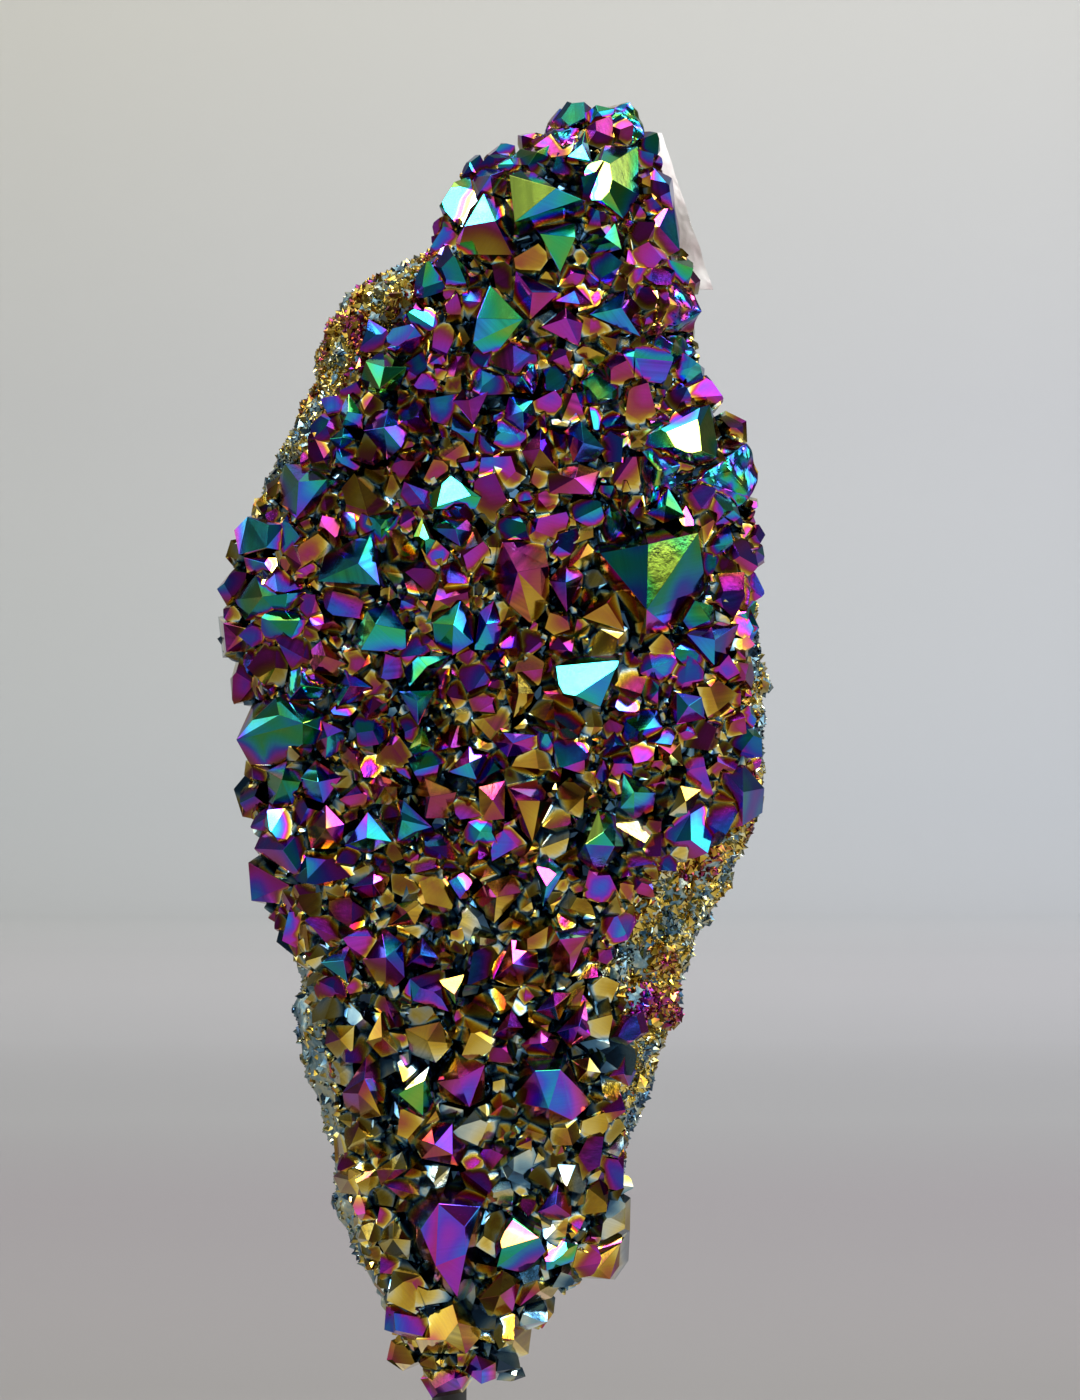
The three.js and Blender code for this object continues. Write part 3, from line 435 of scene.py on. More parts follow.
skin += unit(outward) * (-UNDER_SUNK * under[:, None])
# This mask is kept on the rock for its coat, which paints shade under the crystals.
rock.data.attributes.new("under_crystals", "FLOAT", "POINT").data.foreach_set("value", under)
rock.data.vertices.foreach_set("co", to_scene(skin).ravel())
rock.data.update()
select_only(rock)
bpy.ops.object.mode_set(mode="EDIT")
bpy.ops.mesh.select_all(action="SELECT")
bpy.ops.mesh.normals_make_consistent(inside=False)
bpy.ops.object.mode_set(mode="OBJECT")
bpy.ops.object.shade_smooth_by_angle(angle=ROCK_SMOOTH)


# ---- The big crystals: quartz points up to 20 mm across, crowded side by side and square on to the
# rock. Each has flat faces that meet in a tip or a short ridge, over a foot sunk in its neighbours.
# Each one: how thick its coat grew, and how much thicker on faces turned right and up, how far its
# point rises over its shoulder, the point's tip or ridge, and the shoulder's corners, as x and z.
BIG_CRYSTALS = [
    (0.75, 0, 0.04, 2.5, [(19.6, 255.1)],
     [(16.2, 254.2), (19.2, 256.6), (22.9, 255.9), (22.1, 252.5), (17.5, 252)]),
    (0.7, 0, 0.04, 3, [(24.2, 254.7)],
     [(22.1, 253.4), (22.9, 256.5), (25.9, 257.2), (28.4, 254), (29.1, 250.4), (25.9, 248.8)]),
    (0.5, 0, 0.04, 3, [(11.6, 250.9)],
     [(7.4, 249.2), (9.9, 252.5), (15.8, 251.7), (16.2, 249.2), (12.4, 248)]),
    (0.82, 0, 0.05, 3, [(7.4, 246.7)],
     [(1.1, 245), (4, 247.9), (9.9, 248.3), (11.2, 245.4), (5.7, 244.1)]),
    (0.72, 0, 0.04, 3, [(16.2, 247.1)], [(13.5, 245.8), (17, 251.3), (18.4, 244.3)]),
    (0.9, 0.08, 0.12, 5, [(19.6, 242.6)],
     [(17.9, 244.1), (21, 248.3), (27.6, 248.3), (27.8, 238.4), (24.6, 233.6), (19.2, 237.8)]),
    (0.5, 0, 0.04, 3.5, [(-1.9, 242)],
     [(-5.7, 242.4), (-3.2, 244.1), (0.8, 243.1), (0, 240.1), (-4.8, 237.6)]),
    (0.6, 0, 0.15, 4, [(-10.7, 238.1)],
     [(-12.2, 236.5), (-9.2, 241.3), (-6.1, 242.6), (-5.1, 237.8), (-6.8, 231.9), (-11.4, 234.6)]),
    (0.86, -0.3, 0.04, 6.5, [(11.1, 238.9), (3, 232.3)],
     [(0.8, 238.2), (1.9, 242), (5.3, 244), (16.2, 237), (17.2, 234), (13.1, 232), (4, 230)]),
    (0.8, 0, 0.04, 4.5, [(8, 230), (15, 229.3)],
     [(6.9, 231.7), (11.6, 233.3), (14.8, 232.3), (15.8, 228), (12, 222.6), (8.6, 226.4)]),
    (0.5, 0, 0.15, 5, [(-7, 231.8), (-0.9, 232.6)],
     [(-3.2, 238.4), (-6, 235.7), (-8.8, 229), (-8.5, 226.4), (1.5, 223.2), (2.5, 226), (0.5, 237.4)]),
    (0.8, 0, 0.04, 4, [(20.8, 229.4)],
     [(16.2, 228.1), (17.9, 231.1), (22.9, 232.3), (25.2, 229.8), (24.2, 227.3), (18.3, 225.8)]),
    (0.55, 0, 0.04, 4, [(31.8, 232)],
     [(29.4, 231.9), (34.6, 238), (36, 232), (36, 227.7), (32.6, 225.6), (29.7, 229)]),
    (0.5, 0, 0.04, 3.5, [(6.5, 218.4)],
     [(3.2, 222.8), (11.7, 218.5), (10, 215), (5.9, 213), (2.5, 215.5)]),
    (0.66, 0, -0.05, 4.5, [(-4.5, 213.2), (4.6, 213)],
     [(-1.9, 219.9), (-6.1, 213.8), (-5.3, 208.5), (-1.9, 205), (6.3, 213), (2.7, 217.2)]),
    (0.42, 0, 0.04, 2.5, [(13.2, 213.4)], [(8.2, 211.7), (13.1, 215.5), (16.5, 212.5), (15.8, 207.9)]),
    (0.6, 0, 0.04, 4, [(24.2, 215.5)],
     [(17.9, 214.2), (21.7, 218.4), (24.9, 219), (28.4, 215.5), (28, 210), (22.9, 211)]),
    (0.55, 0, 0.04, 5, [(33.9, 216.5)],
     [(29.7, 217.6), (33.1, 221.8), (38.1, 220.5), (40.2, 215.5), (38.5, 211.7), (31.4, 210.6)]),
    (0.82, 0, 0.04, 3.5, [(34.3, 208.6)],
     [(29.1, 207.9), (31.4, 210.7), (36.8, 210.4), (39.4, 207.2), (33.5, 203.6), (29.7, 205.2)]),
    (0.58, 0, 0.04, 3, [(4.4, 201.6)],
     [(1.1, 202), (2.3, 204.1), (6.5, 204.1), (8, 201.2), (6.5, 198.5), (1.9, 198.7)]),
    (0.82, 0, 0.04, 4.5, [(-22.9, 203.7), (-23.8, 199.4)],
     [(-28, 200.3), (-26.7, 205), (-23.2, 207.3), (-18.5, 203.7), (-20, 199), (-23.8, 197.3)]),
    (0.8, 0, 0.04, 3, [(-30.1, 194.9)],
     [(-32.2, 194.9), (-30.1, 198.5), (-27.3, 194.4), (-27.3, 191.5), (-31.4, 192.3)]),
    (0.55, -0.05, 0, 4.5, [(-22.9, 191.6)],
     [(-27, 191.1), (-25.9, 194.9), (-22.1, 195.4), (-17.3, 192.6), (-19.6, 187.7), (-22.4, 185.4)]),
    (0.7, 0, 0.04, 2.5, [(-31.3, 189.8)],
     [(-33.9, 189.6), (-31, 191.9), (-28.8, 189.4), (-32.2, 187.1)]),
    (0.5, 0, 0.04, 3, [(-6.1, 197)],
     [(-9.1, 197), (-7.4, 199.5), (-2.3, 198.7), (-3.4, 195.3), (-5.3, 192.3)]),
    (0.6, 0, 0.04, 3, [(4.6, 194.8)],
     [(0.6, 193.6), (1.9, 197.8), (6.5, 197), (7.4, 193.6), (4.8, 190.7)]),
    (0.42, 0, 0.04, 3.5, [(8, 187.4)],
     [(4.4, 186.9), (8.2, 191.5), (11.6, 187), (11.6, 183.1), (6, 183.1)]),
    (0.68, 0, 0.04, 3.5, [(16.6, 188.6)],
     [(12.8, 191.1), (16.2, 192.8), (20.8, 187.5), (19, 185), (14.6, 184.8)]),
    (0.48, 0, 0.04, 3, [(14.9, 181.5)],
     [(9.5, 183), (15.8, 184.4), (20, 183.1), (18.3, 178.4), (9.9, 178.7)]),
    (0.64, 0, 0.04, 5, [(31.4, 183.1)],
     [(28, 181.8), (28.4, 186.9), (31.8, 188.7), (35.6, 184.3), (34.3, 178.4), (30.1, 177.2)]),
    (0.85, 0.2, 0.02, 5.5, [(40, 196), (38, 188)],
     [(32, 191.5), (36, 196.5), (42, 196.8), (45.4, 188), (44, 185.9), (37.3, 186.4)]),
    (0.8, -0.1, 0, 5, [(46, 183.3)],
     [(39.2, 181.4), (42.7, 185.2), (49.6, 189.2), (52, 183.5), (50.3, 178), (45.9, 175.6),
      (42.3, 178.4)]),
    (0.72, 0, 0.12, 3, [(33, 176.3)], [(29.3, 174.6), (33.5, 179.7), (36.8, 174.4), (32.6, 172.8)]),
    (0.64, -0.1, 0, 5.5, [(-40, 181)],
     [(-44.4, 181.4), (-43, 184.8), (-37.3, 184.5), (-34.5, 181.4), (-35.6, 176.8), (-40.6, 173.8),
      (-44.2, 177)]),
    (0.62, 0, 0.04, 1.5, [(-8.2, 178.6)],
     [(-14.4, 178), (-9.7, 182), (-3.7, 177.8), (-4.8, 175.5), (-13.3, 175.5)]),
    (0.55, 0, 0.04, 2.5, [(-14.8, 170)],
     [(-17.1, 170), (-15.4, 173.8), (-12.8, 169.2), (-14.5, 166.2)]),
    (0.6, 0, 0.12, 3, [(-8.7, 171.5)],
     [(-13.3, 171.7), (-12, 174.2), (-6.5, 173.4), (-4.4, 170.9), (-7.8, 168.1)]),
    (0.62, -0.15, 0, 4.5, [(-46.3, 172.6), (-46.7, 168)],
     [(-53.5, 171.7), (-50.7, 174.4), (-42.7, 172.7), (-42.5, 167.3), (-52.4, 166.8)]),
    (0.7, 0, 0.04, 1, [(-46.5, 164.8)], [(-51.5, 166.2), (-42.7, 166), (-42.3, 162.4), (-50.7, 162.8)]),
    (0.7, -0.15, 0, 4, [(-47.4, 158.2)],
     [(-53.4, 157.8), (-49, 162.6), (-42.3, 158.8), (-43.2, 153.6), (-51.2, 153.6)]),
    (0.68, 0, -0.04, 5.5, [(-28, 164.6)],
     [(-36.2, 161.2), (-34.7, 167.3), (-25.6, 170.6), (-24, 165), (-23.8, 160.4), (-32.2, 159.8)]),
    (0.47, -0.08, 0.06, 5.5, [(3.6, 162.9)],
     [(-1.9, 161.2), (0.6, 168.8), (8.6, 169.2), (9.7, 164.1), (9.9, 156.5), (6.5, 152.5),
      (1.9, 156.5)]),
    (0.5, 0, 0.04, 4, [(13.1, 160.9)],
     [(9.8, 161.2), (13.3, 166.2), (16.6, 162.4), (16.2, 158.6), (13.3, 155.1)]),
    (0.62, 0.16, 0.45, 7.5, [(29.4, 168.4), (29.1, 155.5)],
     [(20, 166.7), (24.2, 170.2), (29.7, 173), (39.5, 170.9), (41.1, 160), (35.2, 150.8), (29, 150.8),
      (23, 158), (20.2, 162.4)]),
    (0.35, 0, 0.04, 3.5, [(21.3, 156.8)],
     [(16.5, 154), (19.6, 159.7), (23.2, 159.3), (24.8, 151.3), (20.4, 150.8)]),
    (0.72, -0.12, 0.04, 4, [(-24.6, 152.6)],
     [(-29.5, 149.4), (-26.3, 155.3), (-22.1, 157), (-18.7, 151.5), (-18.6, 146.9), (-27.6, 147.6)]),
    (0.68, 0, 0.04, 3.5, [(-9.1, 152.4)],
     [(-13.3, 152.8), (-7.8, 157.2), (-4.8, 154), (-5.3, 149), (-9.5, 146.4), (-12.8, 148.1)]),
    (0.62, 0.05, 0.05, 3, [(-2.6, 152.6)],
     [(-4, 155), (-1.1, 157.4), (0.6, 153.2), (-0.6, 147.3), (-5, 147.6)]),
    (0.4, 0, 0.04, 3, [(-52.8, 150.4)],
     [(-55.6, 153), (-53, 153.6), (-49.1, 151.5), (-49.9, 147.3), (-55, 147.3)]),
    (0.66, 0, 0.28, 5, [(12.8, 139.4), (23.4, 145)],
     [(11.2, 144.3), (16.2, 147.1), (24.2, 146.6), (23.5, 139.7), (20, 136.3), (13.9, 137)]),
    (0.56, 0, 0.04, 4, [(42.8, 149.6)],
     [(37.3, 150.7), (41.9, 153.4), (47.8, 152.8), (45.7, 146.4), (42.7, 144.6), (37.7, 147.7)]),
    (0.5, 0, 0.04, 2.5, [(49, 155.4)], [(46.5, 155.3), (48.2, 157.8), (51.6, 157.4), (50.3, 152.3)]),
    (0.42, 0, 0.04, 3, [(-34.6, 146.3)],
     [(-38.5, 146.9), (-35.6, 149.4), (-30.5, 144.8), (-32.2, 142.2), (-37.3, 143)]),
    (0.6, -0.05, 0.1, 3.5, [(-29.7, 140.4)],
     [(-33.5, 139.7), (-30.9, 143.7), (-25.5, 140.1), (-27.2, 137.4), (-32.2, 136.4)]),
    (0.68, 0, 0.04, 3, [(-14.4, 144.3)],
     [(-19.2, 143.5), (-16.2, 146.2), (-9.9, 146.4), (-12.4, 142.5), (-17.9, 140.3)]),
    (0.68, 0, 0.04, 3.5, [(-16.3, 137.4)],
     [(-20, 139.3), (-13, 139.5), (-14.4, 134.6), (-16.2, 132.6), (-18.9, 136)]),
    (0.6, 0, 0.04, 3.5, [(-39.4, 140.5)],
     [(-43.6, 141.4), (-39.8, 144.6), (-34.7, 139.9), (-37.3, 136.5), (-42.7, 136.9)]),
    (0.82, 0.12, 0.04, 5.5, [(-49.6, 133.6), (-44, 134.6), (-39.2, 133)],
     [(-53, 129.6), (-49.8, 137), (-44.8, 138), (-38.2, 134.4), (-39.4, 128.8), (-44.8, 124.6),
      (-50.4, 124.6)]),
    (0.55, 0.1, 0, 3.5, [(-34.3, 130.2)],
     [(-37.7, 129.2), (-35.6, 133.6), (-31.2, 131.5), (-30.7, 128.4), (-34.7, 125.8)]),
    (0.3, 0, 0.04, 3, [(3.8, 138.9)],
     [(1.1, 138.9), (3.6, 142.9), (6.9, 138.9), (5.7, 135.3), (2.8, 134.2)]),
    (0.52, 0, 0.04, 3, [(37.5, 136.4)],
     [(33.7, 136.3), (35.2, 139.1), (40.2, 138.2), (41.1, 133.8), (35.2, 132.8)]),
    (0.52, 0, 0.04, 2.5, [(2.6, 129)],
     [(-1.5, 129.4), (0.6, 131.1), (7.4, 130.6), (8.2, 127.3), (1.5, 126.3)]),
    (0.72, 0, 0.04, 2.5, [(-15.6, 129)],
     [(-18.2, 127.7), (-15.4, 132.3), (-13.6, 128.2), (-15.9, 125.8)]),
    (0.78, -0.12, 0.03, 4, [(-43.6, 121.6)],
     [(-46.9, 123.3), (-42.7, 125.4), (-39.9, 121.2), (-41.6, 116.6), (-46.3, 115.3)]),
    (0.6, 0, 0.04, 3.5, [(-36.2, 121.3)],
     [(-39.8, 122), (-36.8, 125.6), (-31.6, 122.2), (-35.2, 117), (-39, 118.3)]),
    (0.52, 0.05, -0.1, 3, [(-6, 125.2)], [(-10.3, 123.3), (-6.1, 128.3), (-1.9, 127.1), (-4.6, 121.8)]),
    (0.33, 0, 0.04, 3, [(34, 126.8)], [(31.4, 128.7), (36, 129.1), (36.4, 124.5), (31.8, 124.8)]),
    (0.28, 0, 0.04, 3.5, [(-22.8, 120.4)],
     [(-26.5, 120.8), (-23.8, 123.1), (-19.4, 120.3), (-20.9, 116.6), (-24.8, 117)]),
    (0.38, 0, 0.04, 4, [(-13.8, 118.4)],
     [(-17.9, 118.7), (-14.9, 122), (-8.6, 119.3), (-10.1, 114.1), (-14.7, 114.1)]),
    (0.42, 0, 0.04, 1.5, [(-1.4, 117.6)], [(-4.2, 120.3), (1.1, 121.6), (0.9, 114), (-3.9, 113.4)]),
    (0.38, 0, 0.12, 4.5, [(3.4, 117.7), (8, 117.6)],
     [(1.6, 120.3), (7.4, 121.8), (10.5, 117.4), (6.5, 109.4), (1.7, 114.5)]),
    (0.66, -0.06, 0.04, 4, [(26.7, 119.3)],
     [(24, 116.2), (24.6, 122.9), (31, 119.1), (30.5, 115.5), (26.7, 113.8)]),
    (0.74, 0, 0.2, 5, [(17, 109), (22.8, 108.6), (20.6, 111.4)],
     [(14.7, 109.8), (19.6, 115.6), (23.4, 114.6), (24.6, 108.5), (19.6, 102.3), (15.4, 106.5)]),
    (0.38, 0, 0.04, 4, [(-34.6, 112)],
     [(-38.9, 112.8), (-34.7, 116.7), (-31, 112.8), (-31.8, 107.9), (-37.7, 107.9)]),
    (0.6, 0.15, 0, 3.5, [(-26.5, 110.2)],
     [(-31, 108.6), (-26.3, 115.3), (-21.5, 109.4), (-26.3, 106.9)]),
    (0.55, 0, 0.04, 4.5, [(-43.4, 107.6)],
     [(-49.5, 107.7), (-47.4, 112.5), (-41.1, 110.2), (-37.7, 105.2), (-38.9, 101.2), (-46, 103.5)]),
    (0.4, 0, 0.04, 4, [(-47.3, 101.4)],
     [(-50.7, 104.9), (-47.4, 105.4), (-42.3, 100.5), (-43.2, 96.6), (-50.1, 97.2)]),
    (0.55, 0, 0.04, 4.5, [(48.6, 119.2)],
     [(45.1, 122.9), (48.6, 124.9), (53.1, 119.9), (52.8, 114.9), (48.6, 112.4), (46.1, 116.6)]),
    (0.2, 0, 0.04, 2.5, [(37, 117.4)], [(33.7, 114.7), (36, 120.5), (40.2, 119.7), (37.5, 113.6)]),
    (0.48, 0, 0.04, 3, [(-25.2, 101)],
     [(-29.5, 100.3), (-25, 103.7), (-21.5, 102.7), (-23.6, 98.6), (-27.4, 98)]),
    (0.33, 0, 0.04, 3, [(-18.4, 95.4)], [(-22.7, 92.3), (-20.4, 97), (-14.3, 98.2), (-16.9, 92.8)]),
    (0.35, 0, 0.04, 4, [(-0.6, 98.4)],
     [(-5.5, 98.4), (-2.7, 101.2), (2.7, 102.9), (4.2, 99.3), (-1.1, 93.2), (-4.6, 95.5)]),
    (0.5, 0, 0.04, 3, [(9.6, 102.4)], [(7.4, 104.3), (9.9, 106.2), (12.7, 103.5), (8.6, 96.5)]),
    (0.25, 0, 0.04, 3, [(-41, 90)], [(-44, 91.7), (-38.9, 92.7), (-38.3, 86.9), (-43.2, 87.1)]),
    (0.55, 0, 0.04, 3, [(-31.2, 85.6)], [(-36, 85), (-29.7, 89), (-28.6, 85), (-30.5, 81.2)]),
    (0.46, 0, 0.04, 5, [(-22.6, 86.4)],
     [(-27.4, 85.8), (-23.8, 92.7), (-19.4, 89.2), (-19, 82.4), (-22.9, 78.3), (-26.9, 82)]),
    (0.5, 0, 0.04, 3.5, [(-15.8, 86.9)],
     [(-19.2, 87.3), (-15.4, 90.2), (-12.2, 86.2), (-13.9, 83.5), (-18.8, 84.4)]),
    (0.4, 0, 0.04, 4.5, [(2.6, 85.2)],
     [(-1.7, 84.5), (2.3, 89.8), (7.4, 89.4), (7.6, 84.1), (4, 79.7), (-1.3, 82)]),
    (0.5, 0, 0.15, 4.5, [(11.9, 90), (17.3, 90.6), (13.9, 86.9)],
     [(8.4, 87.5), (11, 91.5), (18.7, 91.9), (18.1, 86.5), (14.1, 83.1), (9.5, 83.8)]),
    (0.2, 0, 0.04, 2, [(-9.2, 80.6)], [(-12, 81.6), (-7.2, 82.8), (-8.9, 77)]),
    (0.4, 0, 0.04, 3, [(11, 76.6)], [(7.2, 75.5), (10.7, 79.3), (14.3, 79.1), (11.8, 73.6)]),
    (0.48, 0, 0.04, 3.5, [(15.8, 72.6)], [(11.4, 71.3), (17.1, 77.2), (18.1, 70.7), (14.1, 67.9)]),
    (0.42, 0, 0.04, 3, [(1.6, 72.5)], [(-1.3, 70.7), (2.3, 75.9), (4.6, 72.3), (1.5, 69.4)]),
    (0.42, 0, 0.04, 3, [(8.1, 69.2)],
     [(4.2, 68.8), (8.2, 71.9), (12.2, 70.2), (10.7, 66.5), (6.3, 66)]),
    (0.28, 0, 0.04, 3.5, [(-32, 69.8)],
     [(-35.1, 68.6), (-34.7, 72.5), (-29.1, 72.5), (-29.5, 66.9), (-31.6, 64.4)]),
    (0.14, 0, 0.04, 3, [(-23.5, 70.4)], [(-26.7, 69.4), (-23.8, 75.1), (-20.4, 67.3), (-23.6, 66.1)]),
    (0.2, 0, 0.04, 2.5, [(-14.4, 69.6)],
     [(-18.9, 71.9), (-12, 73.4), (-9.3, 69), (-12.8, 65.2), (-17.9, 66.9)]),
    (0.35, 0, 0.04, 4.5, [(-27, 62), (-28.3, 59)],
     [(-31.6, 58.9), (-26.7, 66.2), (-22.3, 62.2), (-23.8, 54.5), (-28, 53.4), (-31.2, 55.9)]),
    (0.3, 0.08, -0.1, 4, [(-20.2, 59), (-15.2, 62.6)],
     [(-21.9, 59.3), (-14.1, 64.5), (-12.8, 56.3), (-15.4, 54.7), (-20.4, 55.9)]),
    (0.35, 0, 0.04, 4.5, [(-8.2, 62.2)],
     [(-12.6, 61.4), (-9, 67.7), (-3, 64.8), (-3, 57.8), (-6.1, 56.4), (-11.6, 57.7)]),
    (0.56, 0, 0.25, 5.5, [(7, 63.8), (12.1, 64), (9.7, 56.2)],
     [(2.1, 57.3), (5.2, 64.6), (13.3, 65.3), (18.5, 57), (14.5, 53.6), (9.9, 51.8), (5.7, 53.2)]),
    (0.3, 0, 0.04, 3, [(17.4, 63.6)],
     [(14.3, 65.6), (17.9, 66.2), (20.2, 63.1), (18.3, 60.6), (15.6, 61.4)]),
    (0.48, 0, 0.04, 3, [(24.8, 62.8)], [(21.9, 62.2), (25, 66.2), (27.4, 63.1), (25.9, 60.1)]),
    (0.46, 0.05, 0.06, 4.5, [(-13, 49), (-9.4, 47)],
     [(-18.1, 50.2), (-14, 53.4), (-9.5, 53), (-5.9, 48.8), (-8.4, 44.6), (-15.6, 46)]),
    (0.25, 0, 0.04, 3.5, [(-30.5, 41.4)],
     [(-33.7, 41.6), (-30.5, 44.7), (-27.8, 42.9), (-28.6, 38.3), (-32.2, 38.3)]),
    (0.22, 0, 0.04, 3, [(-21.3, 43.8)], [(-24.8, 43.5), (-19.6, 47.3), (-18.5, 43.7), (-23.8, 39.9)]),
    (0.38, 0, 0.04, 3, [(11.1, 36.8)],
     [(7.6, 35.1), (11.6, 40.5), (14.3, 38), (14.3, 34.2), (10.7, 32.8)]),
    (0.5, 0, 0.1, 6, [(-15.8, 32), (-12.2, 37.2), (-7, 32.6), (-6.8, 27), (-12.8, 24.6)],
     [(-17.7, 33), (-14.5, 38.9), (-9.5, 40.1), (-4, 36.3), (-3.5, 30), (-4.8, 22.9), (-8.6, 18.1),
      (-13.5, 20.6), (-17.7, 27.1)]),
    (0.32, 0, 0.1, 4.5, [(0.8, 29.7), (7.8, 30.2)],
     [(2.7, 34), (8.8, 32.1), (9.1, 27.1), (4.8, 22.6), (-0.6, 24.1), (-2.1, 27.5)]),
    (0.66, 0, 0.04, 1.5, [(12, 26.8)], [(8.9, 29.8), (15.6, 28.3), (14.7, 24.8), (9.3, 23.1)]),
    (0.42, 0, 0.04, 3.5, [(21.2, 28.3)],
     [(17.3, 26.9), (21.3, 33), (25.3, 31.7), (24.4, 28.3), (19.6, 22.9)]),
    (0.3, 0, 0.04, 3.5, [(19.8, 23.2)],
     [(13.9, 22.3), (18.3, 25.4), (24.2, 28), (24, 23.3), (22.1, 20.8), (15, 21)]),
    (0.3, 0, 0.04, 3.5, [(-21.4, 29.8)],
     [(-25.2, 29.6), (-21.3, 33.4), (-17.9, 29.4), (-18.3, 25.2), (-23.2, 26.7)]),
    (0.28, 0, 0.04, 3, [(8, 19)], [(2.7, 16.8), (7.4, 21.2), (13.3, 21.2), (10.4, 17), (4, 15.9)]),
    (0.33, 0, 0.04, 3.5, [(0, 18.4)], [(-4.2, 17.6), (0.6, 23.3), (4.2, 21), (2.5, 14.9), (-1.9, 13)]),
    (0.3, 0, 0.04, 4.5, [(-8.4, 13), (-11, 9.4)],
     [(-17, 9), (-14, 14.2), (-9.5, 16.5), (-5.7, 14.4), (-2.7, 11), (-6.9, 6.3), (-16, 5.8)]),
    (0.24, 0, 0.04, 4, [(2.8, 9.2)], [(-0.8, 8.3), (3, 14), (6.5, 11.9), (5.7, 5.6), (1.5, 3.9)]),
    (0.38, 0, 0.04, 3, [(-3.7, 2.9)], [(-7.2, 2.5), (-4.8, 6), (-0.9, 4.3), (-0.9, 0.8), (-3.8, 0)]),
]
# Some have one face that catches a window: which crystal, by its first tip, a place on that face as
# x and z, how far up the crystal's rise that is, and the window.
BRIGHT_FACES = {
    (16.2, 247.1): ((16.2, 247.3), 0.6, WINDOW_FRONT),
    (19.6, 242.6): ((23.5, 241), 0.55, WINDOW_FRONT),
    (-10.7, 238.1): ((-9.5, 239), 0.6, WINDOW_FRONT),
    (40, 196): ((40.5, 192), 0.9, WINDOW_RIGHT),
    (-8.2, 178.6): ((-9, 178.6), 0.35, WINDOW_FRONT),
    (-14.8, 170): ((-14.8, 170), 0.7, WINDOW_FRONT),
    (-46.5, 164.8): ((-46.5, 164.8), 0.3, WINDOW_FRONT),
    (12.8, 139.4): ((18, 142.6), 0.7, WINDOW_FRONT),
    (49, 155.4): ((49, 155.4), 0.8, WINDOW_RIGHT),
    (9.6, 102.4): ((9.6, 102.4), 0.6, WINDOW_FRONT),
    (-9.2, 80.6): ((-9.2, 80.6), 0.4, WINDOW_FRONT),
    (-20.2, 59): ((-17.5, 61.5), 0.7, WINDOW_LEFT),
    (0.8, 29.7): ((4, 31), 0.7, WINDOW_FRONT),
    (12, 26.8): ((12, 26.8), 0.3, WINDOW_FRONT),
    (21.2, 28.3): ((21.2, 28.3), 0.8, WINDOW_RIGHT),
}
# How far the shoulders stand off the rock, how deep the feet go and how much wider they are, how much
# of its rise a ridge's corner is lifted by, and how wide the ridges' softened edges are, in mm.
SHOULDER = 3.6
BIG_SINK = 9
BIG_FLARE = 1.45
RIDGE_LIFT = 0.32
RIDGE_WIDTH = 0.12
ONE_FACE = math.radians(4)
RIDGE_ANGLE = math.radians(12)
# The longest edge left in what shows, in how many halvings, and how deep in the rock nothing shows.
BIG_FACET = 1.5
BIG_HALVINGS = 4
HIDDEN_DEPTH = 1.5


def main_ridges(tips, shoulder):
    """The three shoulder corners, spread widest round the tips, that the main ridges run down to."""
    middle = tips.mean(0)
    turns = np.arctan2(shoulder[:, 1] - middle[1], shoulder[:, 0] - middle[0])

    def narrowest(trio):
        around = np.sort(turns[list(trio)])
        return np.diff(np.append(around, around[0] + 2 * math.pi)).min()

    return list(max(itertools.combinations(range(len(shoulder)), 3), key=narrowest))


def big_crystal_corners(rise, tips, shoulder):
    tips, shoulder = np.array(tips, float), np.array(shoulder, float)
    ring = front_point(shoulder[:, 0], shoulder[:, 1]) - (0, SHOULDER, 0)
    lift = np.full(len(ring), -RIDGE_LIFT * rise)
    lift[main_ridges(tips, shoulder)] *= -1
    ring[:, 1] -= lift
    middle = ring.mean(0)
    inward = -BIG_SINK * front_normal(middle[0], middle[2])
    feet = middle + (ring - middle) * BIG_FLARE + inward
    peaks = front_point(tips[:, 0], tips[:, 1]) - (0, SHOULDER + rise, 0)
    return np.concatenate([ring, feet, peaks])


def bright_face(rise, place, share, window):
    """A point of a face and the way it looks: midway between the window and whoever looks at it."""
    on_rock = front_point(np.array(place[0]), np.array(place[1]))
    spot = to_scene(on_rock - (0, SHOULDER + share * rise, 0))
    return spot, unit(unit(np.array(camera_object.location) - spot) + unit(np.array(window) - spot))


def new_mesh_object(name, vertices=(), faces=()):
    mesh = bpy.data.meshes.new(name)
    mesh.from_pydata([tuple(v) for v in vertices], [], [tuple(f) for f in faces])
    thing = bpy.data.objects.new(name, mesh)
    bpy.context.scene.collection.objects.link(thing)
    return thing


def number_facets(thing, owner=None):
    """Numbers the flat faces, so that the coat can tell them apart once they are divided. Their
    crystals' numbers are kept too, where they aren't yet."""
    if owner is not None:
        thing.data.attributes.new("crystal", "INT", "FACE").data.foreach_set("value", owner)
    layer = thing.data.attributes.new("facet", "INT", "FACE")
    layer.data.foreach_set("value", np.arange(len(thing.data.polygons)))


